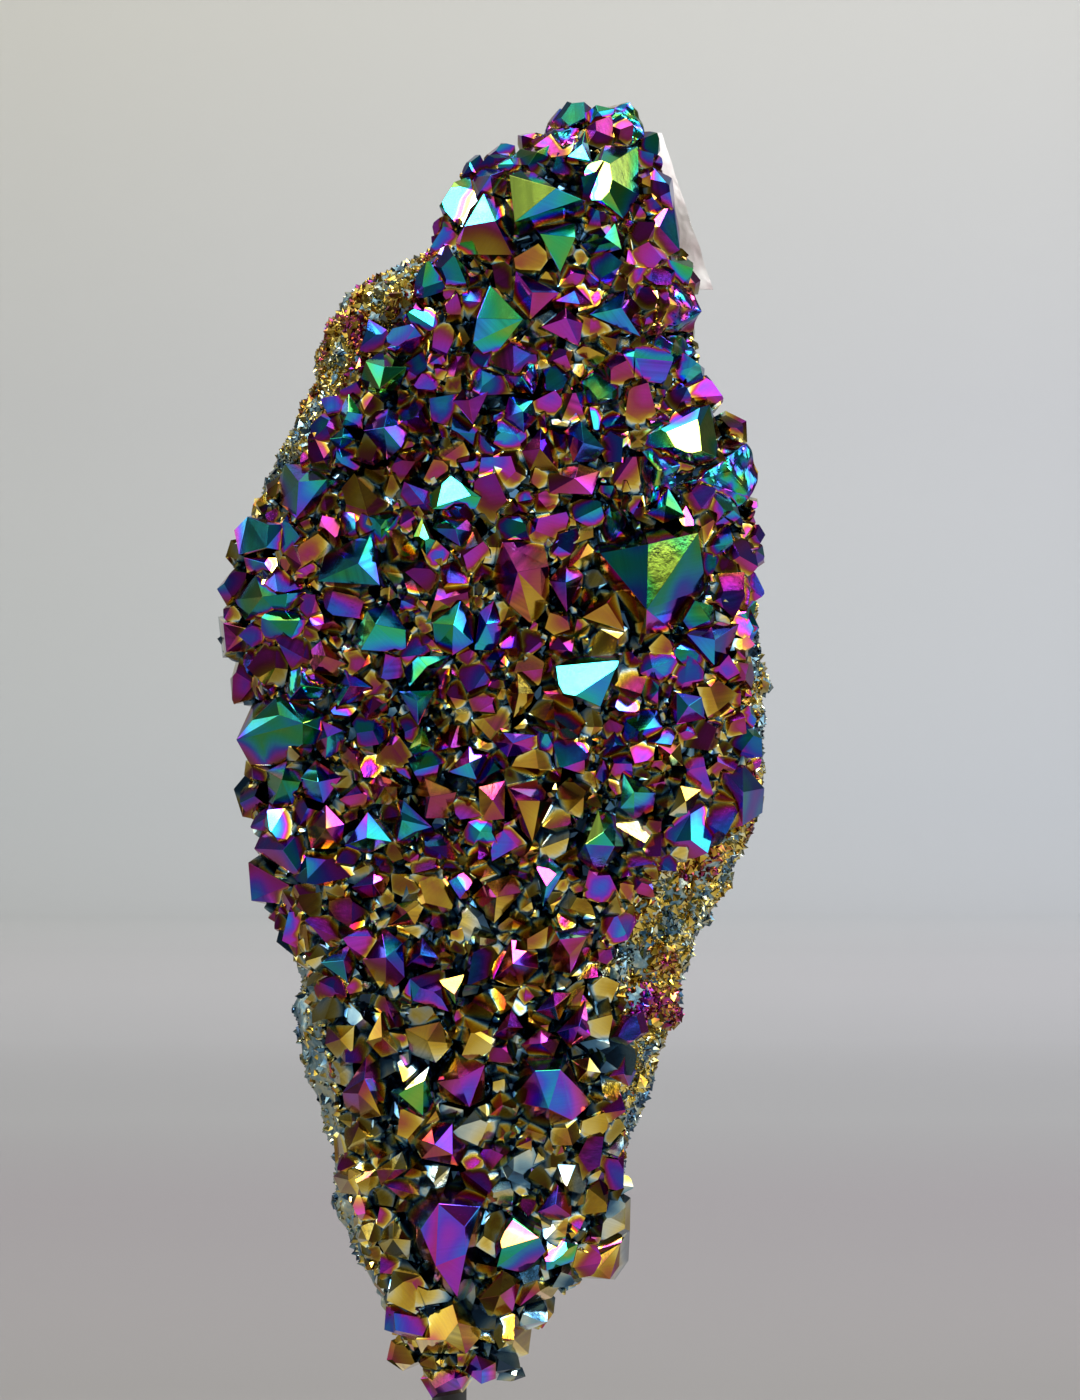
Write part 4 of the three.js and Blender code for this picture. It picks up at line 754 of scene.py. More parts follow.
def divide_long_edges(thing, longest, passes):
    """Divides what shows of the faces finely enough for the coat's colours to run across them."""
    select_only(thing)
    bpy.ops.object.mode_set(mode="EDIT")
    bpy.ops.mesh.select_all(action="SELECT")
    bpy.ops.mesh.quads_convert_to_tris()
    for _ in range(passes):
        grown = bmesh.from_edit_mesh(thing.data)
        bpy.ops.mesh.select_all(action="DESELECT")
        long_edges = [edge for edge in grown.edges if edge.calc_length() > longest * MM]
        halfway = [(edge.verts[0].co + edge.verts[1].co) / 2 for edge in long_edges]
        middles = from_scene(halfway or [(0, 0, 0)])
        buried = middles[:, 1] > front_point(middles[:, 0], middles[:, 2])[:, 1] + HIDDEN_DEPTH
        for edge, hidden in zip(long_edges, buried):
            edge.select = not hidden
        bmesh.update_edit_mesh(thing.data)
        bpy.ops.mesh.subdivide(number_cuts=1, quadcorner="INNERVERT")
        bpy.ops.mesh.select_all(action="SELECT")
        bpy.ops.mesh.quads_convert_to_tris()
    bpy.ops.object.mode_set(mode="OBJECT")


big_crystals = new_mesh_object("big_crystals")
select_only(big_crystals)
bpy.ops.object.mode_set(mode="EDIT")
bmesh.from_edit_mesh(big_crystals.data).faces.layers.int.new("crystal")
for number, (_, _, _, rise, tips, shoulder) in enumerate(BIG_CRYSTALS):
    bpy.ops.mesh.select_all(action="DESELECT")
    grown = bmesh.from_edit_mesh(big_crystals.data)
    for corner in to_scene(big_crystal_corners(rise, tips, shoulder)):
        grown.verts.new(corner).select = True
    bmesh.update_edit_mesh(big_crystals.data)
    bpy.ops.mesh.convex_hull(join_triangles=False)
    bpy.ops.mesh.dissolve_limited(angle_limit=ONE_FACE)
    if tips[0] in BRIGHT_FACES:
        spot, facing = bright_face(rise, *BRIGHT_FACES[tips[0]])
        bpy.ops.mesh.bisect(plane_co=spot, plane_no=facing, use_fill=True, clear_outer=True)
    grown = bmesh.from_edit_mesh(big_crystals.data)
    which = grown.faces.layers.int["crystal"]
    for face in grown.faces:
        if face.select:
            face[which] = number
bmesh.update_edit_mesh(big_crystals.data)
bpy.ops.mesh.select_all(action="SELECT")
bpy.ops.mesh.normals_make_consistent(inside=False)
bpy.ops.object.mode_set(mode="OBJECT")
number_facets(big_crystals)
softened = big_crystals.modifiers.new("ridges", "BEVEL")
softened.width = RIDGE_WIDTH * MM
softened.segments = 1
softened.limit_method = "ANGLE"
softened.angle_limit = RIDGE_ANGLE
bpy.ops.object.modifier_apply(modifier="ridges")
divide_long_edges(big_crystals, BIG_FACET, BIG_HALVINGS)

# A few broke across and healed: their faces are rippled, with the coat uneven over the ripples.
RIPPLED = [(24.2, 254.7), (11.6, 250.9), (33.9, 216.5), (34.3, 208.6), (4.4, 201.6), (46, 183.3),
           (-39.4, 140.5), (31.4, 183.1)]
RIPPLE_DEPTH = 0.42
RIPPLE_CENTRE = Vector((3, -4, 3))
RIPPLE_TURN, RIPPLE_WANDER = 1.3, 2.0


def ripple(place, centre):
    """How high a broken face's ripples stand at a place, from -1 to 1: shells spreading from a centre."""
    spread = (place - centre).length + RIPPLE_WANDER * noise.noise(place * 0.25)
    return 0.6 * math.sin(RIPPLE_TURN * spread) + 0.7 * noise.noise(place * 0.3)


select_only(big_crystals)
bpy.ops.object.mode_set(mode="EDIT")
for number, (*_, tips, _) in enumerate(BIG_CRYSTALS):
    if tips[0] not in RIPPLED:
        continue
    grown = bmesh.from_edit_mesh(big_crystals.data)
    which = grown.faces.layers.int["crystal"]
    bpy.ops.mesh.select_all(action="DESELECT")
    for face in grown.faces:
        face.select = face[which] == number
    bmesh.update_edit_mesh(big_crystals.data)
    bpy.ops.mesh.subdivide(number_cuts=1)
    bpy.ops.mesh.quads_convert_to_tris()
    grown = bmesh.from_edit_mesh(big_crystals.data)
    centre = Vector(front_point(np.array(tips[0][0]), np.array(tips[0][1]))) + RIPPLE_CENTRE
    for corner in [vert for vert in grown.verts if vert.select]:
        corner.co += corner.normal * RIPPLE_DEPTH * MM * ripple(Vector(from_scene(corner.co)), centre)
    bmesh.update_edit_mesh(big_crystals.data)
bpy.ops.object.mode_set(mode="OBJECT")


# ---- The smaller crystals: points 1.4 to 11 mm across in every gap between the big ones, leaning
# all ways. They are a few kinds of quartz point, grown over and over at other sizes and turns.
FACE_SLOPE = math.radians(38.2)
POINT_KINDS = 7
SHAFT = 3.0
# How far out a point's alternate tip faces lie, or all six on every third kind, and how unevenly.
NEAR_FACE, FAR_FACE, EVEN_FACE = 0.72, 1.08, 0.88
FACE_CHANGE = 0.26
ONE_TIP_FACE = math.radians(2)
SMALL_SINK = 1.2
SMALL_FLARE = 1.3
SQUASH, SQUASH_TURN = 0.22, 7.3
# The first of them stand in loose rows over the whole field, as far out on its flanks as they fit.
SMALLEST, LARGEST = 3, 4.6
LOWEST_ROW, HIGHEST_ROW = 9, 250
ROW_STEP, COLUMN_STEP = 14, 12.5
JITTER = 0.34
BULGE = 1.25
FLANK_TURN = 1.41
MOST_LEAN = 0.75
STAND_LOW, STAND_HIGH = -0.4, 0.6
CLEAR_OF_BIG = 0.82
# The rest fill in between them, the larger first: radii from and to, how many tries, and how far,
# from and to, their shoulders stand off the rock.
FILLED = [
    (3.6, 5.6, 7000, (0.8, 2.4)),
    (2.3, 3.6, 8000, (0.9, 2.4)),
    (1.3, 2.3, 9000, (0.8, 2.4)),
    (0.7, 1.3, 9000, (0.8, 2.2)),
]
FILL_LOW, FILL_HIGH = 1.5, 255
MOSTLY_SMALL = 1.6
# How much room each keeps, as a share of its radius: from others, from the field's edges and more
# beside the bare lower flank, from the label and from big crystals.
CLOSENESS = 0.50
EDGE_ROOM, FLANK_ROOM, FLANK_TOP = 0.45, 0.85, 86
LABEL_ROOM, BIG_ROOM = 0.6, 0.22
# The label lies above this height, right of a line through a place that leans inward as it rises.
UNDER_LABEL = 222
LABEL_X, LABEL_Z, LABEL_LEAN = 34.5, 235, 0.27
MID_FACET, MID_HALVINGS = 1.7, 2

seed = 20261


def random(low, high):
    """Park and Miller's number sequence, as the solids use."""
    global seed
    seed = seed * 16807 % 2147483647
    return low + (high - low) * (seed / 2147483647)


chance = np.random.default_rng(11)


def quartz_point(kind):
    """One kind of quartz point about its shoulder: a six-sided shaft under six unequal tip faces."""
    bpy.ops.object.select_all(action="DESELECT")
    bpy.ops.mesh.primitive_cylinder_add(vertices=6, radius=1, depth=SHAFT + 2,
                                        location=(0, 0, 1 - SHAFT / 2))
    point = bpy.context.active_object
    bpy.ops.object.transform_apply(location=True, rotation=False, scale=False)
    bpy.ops.object.mode_set(mode="EDIT")
    for side in range(6):
        bpy.ops.mesh.select_all(action="SELECT")
        turn = math.radians(60 * side)
        outward = Vector((math.cos(turn) * math.cos(FACE_SLOPE), math.sin(turn) * math.cos(FACE_SLOPE),
                          math.sin(FACE_SLOPE)))
        kept = (NEAR_FACE, FAR_FACE)[side % 2] if kind % 3 else EVEN_FACE
        distance = kept * math.cos(FACE_SLOPE) * (1 + FACE_CHANGE * chance.uniform(-1, 1))
        bpy.ops.mesh.bisect(plane_co=outward * distance, plane_no=outward, use_fill=True, clear_outer=True)
    bpy.ops.mesh.select_all(action="SELECT")
    bpy.ops.mesh.dissolve_limited(angle_limit=ONE_TIP_FACE)
    bpy.ops.mesh.normals_make_consistent(inside=False)
    bpy.ops.object.mode_set(mode="OBJECT")
    made = points_of(point.data), [tuple(face.vertices) for face in point.data.polygons]
    bpy.data.objects.remove(point)
    return made


POINTS = [quartz_point(kind) for kind in range(POINT_KINDS)]


def turn_onto(direction, spin):
    """The turn that sets a crystal's length along a direction, after a spin about that length."""
    return np.array((Vector((0, 0, 1)).rotation_difference(Vector(direction)) @
                     Matrix.Rotation(spin, 3, "Z").to_quaternion()).to_matrix())


def grow(crystals, kinds):
    """Many crystals as one set of corners and faces, with the number of each face's crystal."""
    corners, faces, owner, first = [], [], [], 0
    for number, ((place, direction, radius, spin, shaft), kind) in enumerate(zip(crystals, kinds)):
        shape, sides = POINTS[kind]
        squash = 1 + SQUASH * math.sin(SQUASH_TURN * number)
        shape = shape * (radius * squash, radius / squash, radius)
        foot = shape[:, 2] < -0.5 * radius
        shape[foot, 2] = -shaft - SMALL_SINK
        shape[foot, :2] *= SMALL_FLARE
        corners.append(shape @ turn_onto(direction, spin).T + place + direction * shaft)
        faces += [tuple(first + i for i in side) for side in sides]
        owner += [number] * len(sides)
        first += len(shape)
    return np.concatenate(corners), faces, owner


BIG_MIDDLES = np.array([np.mean(row[5], axis=0) for row in BIG_CRYSTALS])
BIG_REACH = np.array([CLEAR_OF_BIG * np.mean(np.linalg.norm(np.array(row[5]) - middle, axis=1))
                      for row, middle in zip(BIG_CRYSTALS, BIG_MIDDLES)])

# Each crystal: its foot's place, its direction, its radius, its spin, and how far its shoulder stands
# off the rock.
mid = []
for row in range((HIGHEST_ROW - LOWEST_ROW) // ROW_STEP + 1):
    level = LOWEST_ROW + row * ROW_STEP
    *_, field_left, field_right = station_at(level)
    span = field_right - field_left
    columns = max(2, math.floor(BULGE * span / COLUMN_STEP + 0.5))
    for column in range(columns):
        step = (column + 0.5 + random(-JITTER, JITTER)) / columns
        swing = math.sin((step - 0.5) * 2 * FLANK_TURN) / math.sin(FLANK_TURN)
        x = (field_left + field_right) / 2 + swing * span / 2
        z = level + random(-JITTER, JITTER) * ROW_STEP
        radius = random(SMALLEST, LARGEST)
        lean = np.array([random(-1, 1), random(-1, 1), random(-1, 1)]) * MOST_LEAN
        spin = random(0, math.pi / 3)
        if (np.hypot(BIG_MIDDLES[:, 0] - x, BIG_MIDDLES[:, 1] - z) <= BIG_REACH).any():
            continue
        mid.append((front_point(x, z), unit(front_normal(x, z) + lean), radius, spin,
                    chance.uniform(STAND_LOW, STAND_HIGH)))

EDGES_FROM = np.concatenate([np.array(row[5], float) for row in BIG_CRYSTALS])
EDGES_TO = np.concatenate([np.roll(np.array(row[5], float), -1, axis=0) for row in BIG_CRYSTALS])
EDGE_OWNER = np.concatenate([[i] * len(row[5]) for i, row in enumerate(BIG_CRYSTALS)])


def depth_in_big(x, z):
    """How far inside a big crystal's shoulder a place is: below 0 outside them all."""
    place = np.array([x, z])
    run = EDGES_TO - EDGES_FROM
    share = np.clip(((place - EDGES_FROM) * run).sum(1) / (run**2).sum(1), 0, 1)
    nearest = np.linalg.norm(EDGES_FROM + share[:, None] * run - place, axis=1)
    crosses = (EDGES_FROM[:, 1] > z) != (EDGES_TO[:, 1] > z)
    at_x = EDGES_FROM[:, 0] + (z - EDGES_FROM[:, 1]) * run[:, 0] / np.where(crosses, run[:, 1], 1)
    inside = np.bincount(EDGE_OWNER, crosses & (at_x > x), len(BIG_CRYSTALS)) % 2 == 1
    if not inside.any():
        return -nearest.min()
    return max(nearest[EDGE_OWNER == i].min() for i in np.flatnonzero(inside))


def has_room(x, z, radius):
    """Whether a crystal fits: clear of the label, inside the field and out of the big crystals."""
    if z > UNDER_LABEL and x + LABEL_ROOM * radius > LABEL_X - LABEL_LEAN * (z - LABEL_Z):
        return False
    *_, field_left, field_right = station_at(z)
    left_room = FLANK_ROOM if z < FLANK_TOP else EDGE_ROOM
    if x < field_left + left_room * radius or x > field_right - EDGE_ROOM * radius:
        return False
    return depth_in_big(x, z) <= -BIG_ROOM * radius


filled = []
for low, high, tries, (short, tall) in FILLED:
    heights = chance.uniform(FILL_LOW, FILL_HIGH, tries)
    swings = np.sin(chance.uniform(-1, 1, tries) * FLANK_TURN) / math.sin(FLANK_TURN)
    radii = low + (high - low) * chance.uniform(0, 1, tries) ** MOSTLY_SMALL
    *_, field_left, field_right = station_at(heights)
    xs = (field_left + field_right) / 2 + swings * (field_right - field_left) / 2
    taken = mid + sum(filled, [])
    taken_at = np.array([place for place, *_ in taken] + [(0, 0, 0)] * tries, float)
    taken_by = np.array([crystal[2] for crystal in taken] + [0] * tries, float)
    count = len(taken)
    found = []
    for spot, normal, radius in zip(front_point(xs, heights), front_normal(xs, heights), radii):
        apart = np.linalg.norm(taken_at[:count] - spot, axis=1)
        if (apart < CLOSENESS * (taken_by[:count] + radius)).any() or not has_room(spot[0], spot[2], radius):
            continue
        taken_at[count], taken_by[count] = spot, radius
        count += 1
        direction = unit(normal + MOST_LEAN * chance.uniform(-1, 1, 3))
        spin = chance.uniform(0, math.pi / 3)
        found.append((spot, direction, radius, spin, chance.uniform(short, tall)))
    filled.append(found)


def crystals_object(name, crystals):
    kinds = chance.integers(0, POINT_KINDS, len(crystals))
    corners, faces, owner = grow(crystals, kinds)
    thing = new_mesh_object(name, to_scene(corners), faces)
    number_facets(thing, owner)
    return thing, np.array([place for place, *_ in crystals])


mid_crystals, mid_places = crystals_object("mid_crystals", mid + filled[0] + filled[1])
small_crystals, small_places = crystals_object("small_crystals", filled[2] + filled[3])
divide_long_edges(mid_crystals, MID_FACET, MID_HALVINGS)


# ---- The sugar: a druse of tiny points on the bare rims and in patches over the back, too small to
# tell apart, where the crystals above never grew large.
GRAIN_TRIES = 62000
LOWEST_GRAIN = ROCK_LOW + 4
FRONT_SHARE = 0.66
GRAIN_SMALL, GRAIN_LARGE = 0.5, 1.6
GRAIN_SIDES = 5
GRAIN_TALL, GRAIN_MIDDLE = 1.25, 0.1
GRAIN_LEAN, GRAIN_SPIN = 0.6, 1.2
SHORTEST_GRAIN, TALLEST_GRAIN = 0.7, 1.3
# None grows under the crystals, further than this inside the edge of their field.
FIELD_MARGIN = 1
# In front they cover the rock, except for the lower left flank, where few of the tries are kept.
FRONT_EDGE = 0.05
FLANK_X, FLANK_BELOW, FLANK_SHARE = -8, 84, 0.12
# Behind they thin out away from the rim, but for patches where the crust is thick.
RIM_MIDDLE, RIM_SPREAD, RIM_MOST = 0.1, 0.45, 0.5
PATCH_SCALE, PATCH_MOST = 0.05, 0.6

bpy.ops.mesh.primitive_cone_add(vertices=GRAIN_SIDES, radius1=1, depth=GRAIN_TALL,
                                location=(0, 0, GRAIN_MIDDLE))
grain = bpy.context.active_object
bpy.ops.object.transform_apply(location=True, rotation=False, scale=False)
GRAIN_SHAPE = points_of(grain.data)
GRAIN_FACES = [tuple(face.vertices) for face in grain.data.polygons]
bpy.data.objects.remove(grain)

rock_tree = BVHTree.FromPolygons([tuple(p) for p in from_scene(points_of(rock.data))],
                                 [tuple(face.vertices) for face in rock.data.polygons])
heights = chance.uniform(LOWEST_GRAIN, ROCK_TOP, GRAIN_TRIES)
in_front = chance.uniform(0, 1, GRAIN_TRIES) < FRONT_SHARE
angles = chance.uniform(0, math.pi, GRAIN_TRIES) * np.where(in_front, -1, 1)
smooth = rock_point(angles, heights)
middle, _, _, _, rim, field_left, field_right = station_at(heights)
cores = np.stack([middle, rim, heights], 1)
on_front = np.sin(angles) < FRONT_EDGE
under_crystals = on_front & (smooth[:, 0] > field_left + FIELD_MARGIN)
under_crystals &= smooth[:, 0] < field_right - FIELD_MARGIN
at_rim = np.exp(-(((np.sin(angles) - RIM_MIDDLE) / RIM_SPREAD) ** 2))
patches = np.array([0.5 + 0.5 * noise.noise(Vector(p) * PATCH_SCALE + Vector((3, 1, 4))) for p in smooth])
on_flank = (smooth[:, 0] < FLANK_X) & (heights < FLANK_BELOW)
likely_behind = np.maximum(RIM_MOST * at_rim, PATCH_MOST * patches**3)
likely = np.where(on_front, np.where(on_flank, FLANK_SHARE, 1), likely_behind)
chosen = np.flatnonzero(~under_crystals & (chance.uniform(0, 1, GRAIN_TRIES) < likely))
grain_corners, grain_faces = [], []
for core, bare in zip(cores[chosen], smooth[chosen]):
    outward = Vector(bare - core)
    spot, normal, _, _ = rock_tree.ray_cast(Vector(core), outward)
    if spot is None:
        continue
    normal = normal if normal.dot(outward) > 0 else -normal
    radius = GRAIN_SMALL + (GRAIN_LARGE - GRAIN_SMALL) * chance.uniform(0, 1) ** 2
    direction = unit(np.array(normal) + GRAIN_LEAN * chance.uniform(-1, 1, 3))
    shape = GRAIN_SHAPE * radius * (1, 1, chance.uniform(SHORTEST_GRAIN, TALLEST_GRAIN))
    first = len(grain_corners) * len(shape)
    grain_faces += [tuple(first + i for i in side) for side in GRAIN_FACES]
    turn = turn_onto(direction, chance.uniform(0, GRAIN_SPIN))
    grain_corners.append(shape @ turn.T + np.array(spot))
sugar = new_mesh_object("sugar", to_scene(np.concatenate(grain_corners)), grain_faces)
number_facets(sugar, np.repeat(np.arange(len(grain_corners)), len(GRAIN_FACES)))


# ---- The coat: titanium settled on it all from a vapour, thickest on what stands out and hardly at
# all in the gaps. Its thickness gives its colour, from steel and gold up to green and yellow, and near
# black where it is thinnest, which paints shade into the gaps.
# It is kept on each piece as a map: across, how thick, and up, which streak of the faces' growth.
# How open a corner lies: how far it looks, in how many ways, without those that graze its face, and
# how much a way counts that is blocked only at the end of that reach.
OPEN_REACH = 16
SKY_DIRECTIONS = 44
GRAZING = 0.08
FAR_HIT = 0.6
SMOOTHINGS = 3
# From how open, and from how far below the tips around it, a corner is coated in full or not at all;
# uncoated, it is near black, painted shade.
SHADED, LIT = 0.24, 0.62
OPENER = 0.2
TIP_DEPTH, GAP_DEPTH = 1.5, 10.5
# The grid over the front, in mm, that holds how far the crystals stand out.
ENVELOPE_CELL = 1.5
ENVELOPE_LEFT, ENVELOPE_LOW = -66, -12
ENVELOPE_WIDE, ENVELOPE_TALL = 132, 290
ENVELOPE_SPREAD, ENVELOPE_BLUR = 3, 5
# How much the film changes from face to face and across them, and over the ripples.
FACET_CHANGE = 0.17
FILM_DRIFT, DRIFT_SCALE = 0.20, 0.13
MARBLING, MARBLING_SCALE = 0.30, 0.3
THINNEST, THICKEST = 0.02, 0.96
# Which way the streaks run over a face, and how often they repeat, in mm.
STREAK_ACROSS = (0.3, 1.0, 0.2)
STREAK_REPEAT = 48
STRIATED_SHARE = 0.15
PLAIN_TOP, STRIATED_START = 0.70, 0.76
FILM_MAP = "OFBake"
# The look of the streaks: how close they lie, where the striated ones begin, how strongly they show in
# plain and striated faces, and how rough they are.
LINE_SCALE, GLOSS_SCALE = 140, 9
STRIATED_FROM, LINE_STRENGTH = (0.72, 0.76), (0.22, 1.3)
GLOSS_FROM, GLOSS = (0.3, 0.7), (0.03, 0.17)
# How thick, from 0 to 1, and the colour there; the thinnest are near black, painted shade where the coat
# thins in the gaps.
FILM_AND_SHADE_COLOURS = [
    (0.00, (0.010, 0.030, 0.060)),
    (0.04, (0.025, 0.085, 0.15)),
    (0.08, (0.15, 0.25, 0.28)),
    (0.12, (0.38, 0.40, 0.30)),
    (0.17, (0.46, 0.37, 0.085)),
    (0.24, (0.34, 0.225, 0.014)),
    (0.31, (0.27, 0.135, 0.010)),
    (0.36, (0.22, 0.055, 0.018)),
    (0.41, (0.20, 0.016, 0.055)),
    (0.47, (0.27, 0.012, 0.18)),
    (0.53, (0.24, 0.014, 0.32)),
    (0.59, (0.09, 0.025, 0.42)),
    (0.65, (0.02, 0.08, 0.46)),
    (0.70, (0.010, 0.18, 0.42)),
    (0.76, (0.006, 0.26, 0.31)),
    (0.82, (0.006, 0.28, 0.18)),
    (0.88, (0.02, 0.29, 0.075)),
    (0.94, (0.08, 0.27, 0.03)),
    (1.00, (0.20, 0.28, 0.03)),
]


def sky(count):
    """Directions spread evenly over the whole sky."""
    steps = np.arange(count) + 0.5
    heights = 1 - 2 * steps / count
    turns = math.pi * (1 + 5**0.5) * steps
    flat = np.sqrt(1 - heights**2)
    return np.stack([flat * np.cos(turns), flat * np.sin(turns), heights], 1)


def all_of(pieces):
    """Every piece's corners and faces together, to look out from among them."""
    corners, faces, first = [], [], 0
    for piece in pieces:
        piece_corners = from_scene(points_of(piece.data))
        corners.append(piece_corners)
        faces += [tuple(first + i for i in face.vertices) for face in piece.data.polygons]
        first += len(piece_corners)
    return np.concatenate(corners), faces


def openness_of(mesh):
    """How much of the sky each corner of a mesh sees, from 0 to 1, smoothed along its edges."""
    places = from_scene(points_of(mesh))
    normals = np.empty(3 * len(mesh.vertices))
    mesh.vertices.foreach_get("normal", normals)
    normals = normals.reshape(-1, 3)
    directions = sky(SKY_DIRECTIONS)
    facing = normals @ directions.T
    aims = [Vector(d) for d in directions]
    seen = np.zeros(len(places))
    starts = places + normals * 0.05
    for i, (start, weights) in enumerate(zip(starts, facing)):
        origin = Vector(start)
        total = 0.0
        open_sky = 0.0
        for j in np.flatnonzero(weights > GRAZING):
            weight = weights[j]
            total += weight
            away = pieces_tree.ray_cast(origin, aims[j], OPEN_REACH)[3]
            open_sky += weight if away is None else weight * FAR_HIT * (away / OPEN_REACH)
        seen[i] = open_sky / max(total, 1e-6)
    edges = np.empty(2 * len(mesh.edges), int)
    mesh.edges.foreach_get("vertices", edges)
    one, other = edges.reshape(-1, 2).T
    edges_here = np.bincount(one, minlength=len(places)) + np.bincount(other, minlength=len(places))
    for _ in range(SMOOTHINGS):
        around = np.bincount(one, seen[other], len(places)) + np.bincount(other, seen[one], len(places))
        seen = 0.5 * seen + 0.5 * around / np.maximum(edges_here, 1)
    return seen


def stands_out(places):
    """How far places stand out from the rock's smooth front, in mm."""
    return front_point(places[:, 0], places[:, 2])[:, 1] - places[:, 1]


def cells_of(places):
    return (places[:, 2] - ENVELOPE_LOW) / ENVELOPE_CELL, (places[:, 0] - ENVELOPE_LEFT) / ENVELOPE_CELL


def envelope_of(places):
    """How far the tallest crystals near each place stand out, on a grid over the front."""
    rows, columns = cells_of(places)
    grid = np.zeros((int(ENVELOPE_TALL / ENVELOPE_CELL), int(ENVELOPE_WIDE / ENVELOPE_CELL)))
    np.maximum.at(grid, (rows.astype(int), columns.astype(int)), stands_out(places))
    for step in range(ENVELOPE_SPREAD + ENVELOPE_BLUR):
        around = np.stack([grid] + [np.roll(grid, way, axis) for axis in (0, 1) for way in (1, -1)])
        grid = around.max(0) if step < ENVELOPE_SPREAD else around.mean(0)
    return grid


def below_tips(places):
    """How far below the tips around them places lie, in mm."""
    rows, columns = cells_of(places)
    row, column = np.floor(rows).astype(int), np.floor(columns).astype(int)
    up, right = rows - row, columns - column
    lower = envelope[row, column] * (1 - right) + envelope[row, column + 1] * right
    upper = envelope[row + 1, column] * (1 - right) + envelope[row + 1, column + 1] * right
    return lower * (1 - up) + upper * up - stands_out(places)


def exposure_and_shade_of(mesh):
    """How exposed each corner of a mesh is to the vapour, from 0 in the gaps to 1 or more at the tips, from
    the sky it sees and how deep it lies: low values give painted shade.
    """
    open_here = (openness_of(mesh) - SHADED) / (LIT - SHADED)
    open_here = np.clip(open_here, 0, 1) + OPENER * np.clip(open_here - 1, 0, 1)
    sunk = (below_tips(from_scene(points_of(mesh))) - TIP_DEPTH) / (GAP_DEPTH - TIP_DEPTH)
    sunk = np.clip(sunk, 0, 1)
    return open_here * (1 - sunk * sunk * (3 - 2 * sunk))


def of_faces(mesh, name):
    found = np.empty(len(mesh.polygons), int)
    mesh.attributes[name].data.foreach_get("value", found)
    return found


def hashed(numbers, salt):
    """A number from 0 to 1 for each whole number, without order."""
    return np.modf(np.abs(np.sin(numbers * 12.9898 + salt) * 43758.5453))[0]


def coat(thing, tip_film, facet_change, exposure, uneven=None):
    """Lays the film on a piece as its map, from each crystal's film at its tip."""
    mesh = thing.data
    loops = np.empty(len(mesh.loops), int)
    mesh.loops.foreach_get("vertex_index", loops)
    counts = np.empty(len(mesh.polygons), int)
    mesh.polygons.foreach_get("loop_total", counts)
    normals = np.empty(3 * len(mesh.polygons))
    mesh.polygons.foreach_get("normal", normals)
    normals = normals.reshape(-1, 3)
    crystal, facet = of_faces(mesh, "crystal"), of_faces(mesh, "facet")
    facet_film = tip_film[crystal] + facet_change(crystal, normals)
    film = np.repeat(facet_film + FACET_CHANGE * (hashed(facet, 1.7) - 0.5), counts)
    corners = from_scene(points_of(mesh))
    if uneven is not None:
        marbled = np.flatnonzero(np.repeat(uneven[crystal], counts) > 0)
        film[marbled] += [MARBLING * noise.fractal(Vector(place) * MARBLING_SCALE, 0.7, 2.1, 2)
                          for place in corners[loops[marbled]]]
    drift = np.array([noise.noise(Vector(place) * DRIFT_SCALE) for place in corners])
    # The film thins where a corner is less exposed; where it is thinnest its colour is near black, painted
    # shade.
    thick = (film + FILM_DRIFT * drift[loops]) * (THINNEST + THICKEST * exposure[loops])
    streak_way = np.repeat(unit(np.cross(normals, STREAK_ACROSS) + 1e-6), counts, axis=0)
    along = (corners[loops] * streak_way).sum(1)
    wander = np.modf(np.abs(along / STREAK_REPEAT + np.repeat(hashed(facet, 5.1), counts)))[0]
    is_striated = np.repeat(hashed(facet, 9.3) < STRIATED_SHARE, counts)
    striations = STRIATED_START + (1 - STRIATED_START) * wander
    streak = np.where(is_striated, striations, PLAIN_TOP * wander)
    both = np.stack([np.clip(thick, 0.002, 0.998), streak], 1).astype(np.float32)
    mesh.uv_layers.new(name=FILM_MAP).uv.foreach_set("vector", both.ravel())


def add_streaks(graph, place, scale):
    """Noise that runs in streaks, from a place along them."""
    streaks = graph.nodes.new("ShaderNodeTexNoise")
    streaks.noise_dimensions = "1D"
    streaks.inputs["Scale"].default_value = scale
    graph.links.new(place, streaks.inputs["W"])
    return streaks.outputs[0]


def film_group():
    """The coat's look from its thickness and its streak: a colour and a roughness."""
    group = bpy.data.node_groups.new("titanium_film", "ShaderNodeTree")
    for name in ("Thickness", "Streak"):
        group.interface.new_socket(name, in_out="INPUT", socket_type="NodeSocketFloat")
    group.interface.new_socket("Color", in_out="OUTPUT", socket_type="NodeSocketColor")
    group.interface.new_socket("Roughness", in_out="OUTPUT", socket_type="NodeSocketFloat")
    given, made = group.nodes.new("NodeGroupInput"), group.nodes.new("NodeGroupOutput")
    streak = given.outputs["Streak"]
    how_strong = add_range(group, streak, STRIATED_FROM, LINE_STRENGTH)
    lines = add_sum(group, "SUBTRACT", add_streaks(group, streak, LINE_SCALE), 0.5)
    tinted = group.nodes.new("ShaderNodeVectorMath")
    tinted.operation = "SCALE"
    group.links.new(add_ramp(group, given.outputs["Thickness"], FILM_AND_SHADE_COLOURS), tinted.inputs[0])
    group.links.new(add_sum(group, "MULTIPLY_ADD", lines, how_strong, 1.0), tinted.inputs["Scale"])
    group.links.new(tinted.outputs[0], made.inputs["Color"])
    rough = add_range(group, add_streaks(group, streak, GLOSS_SCALE), GLOSS_FROM, GLOSS)
    group.links.new(rough, made.inputs["Roughness"])
    return group


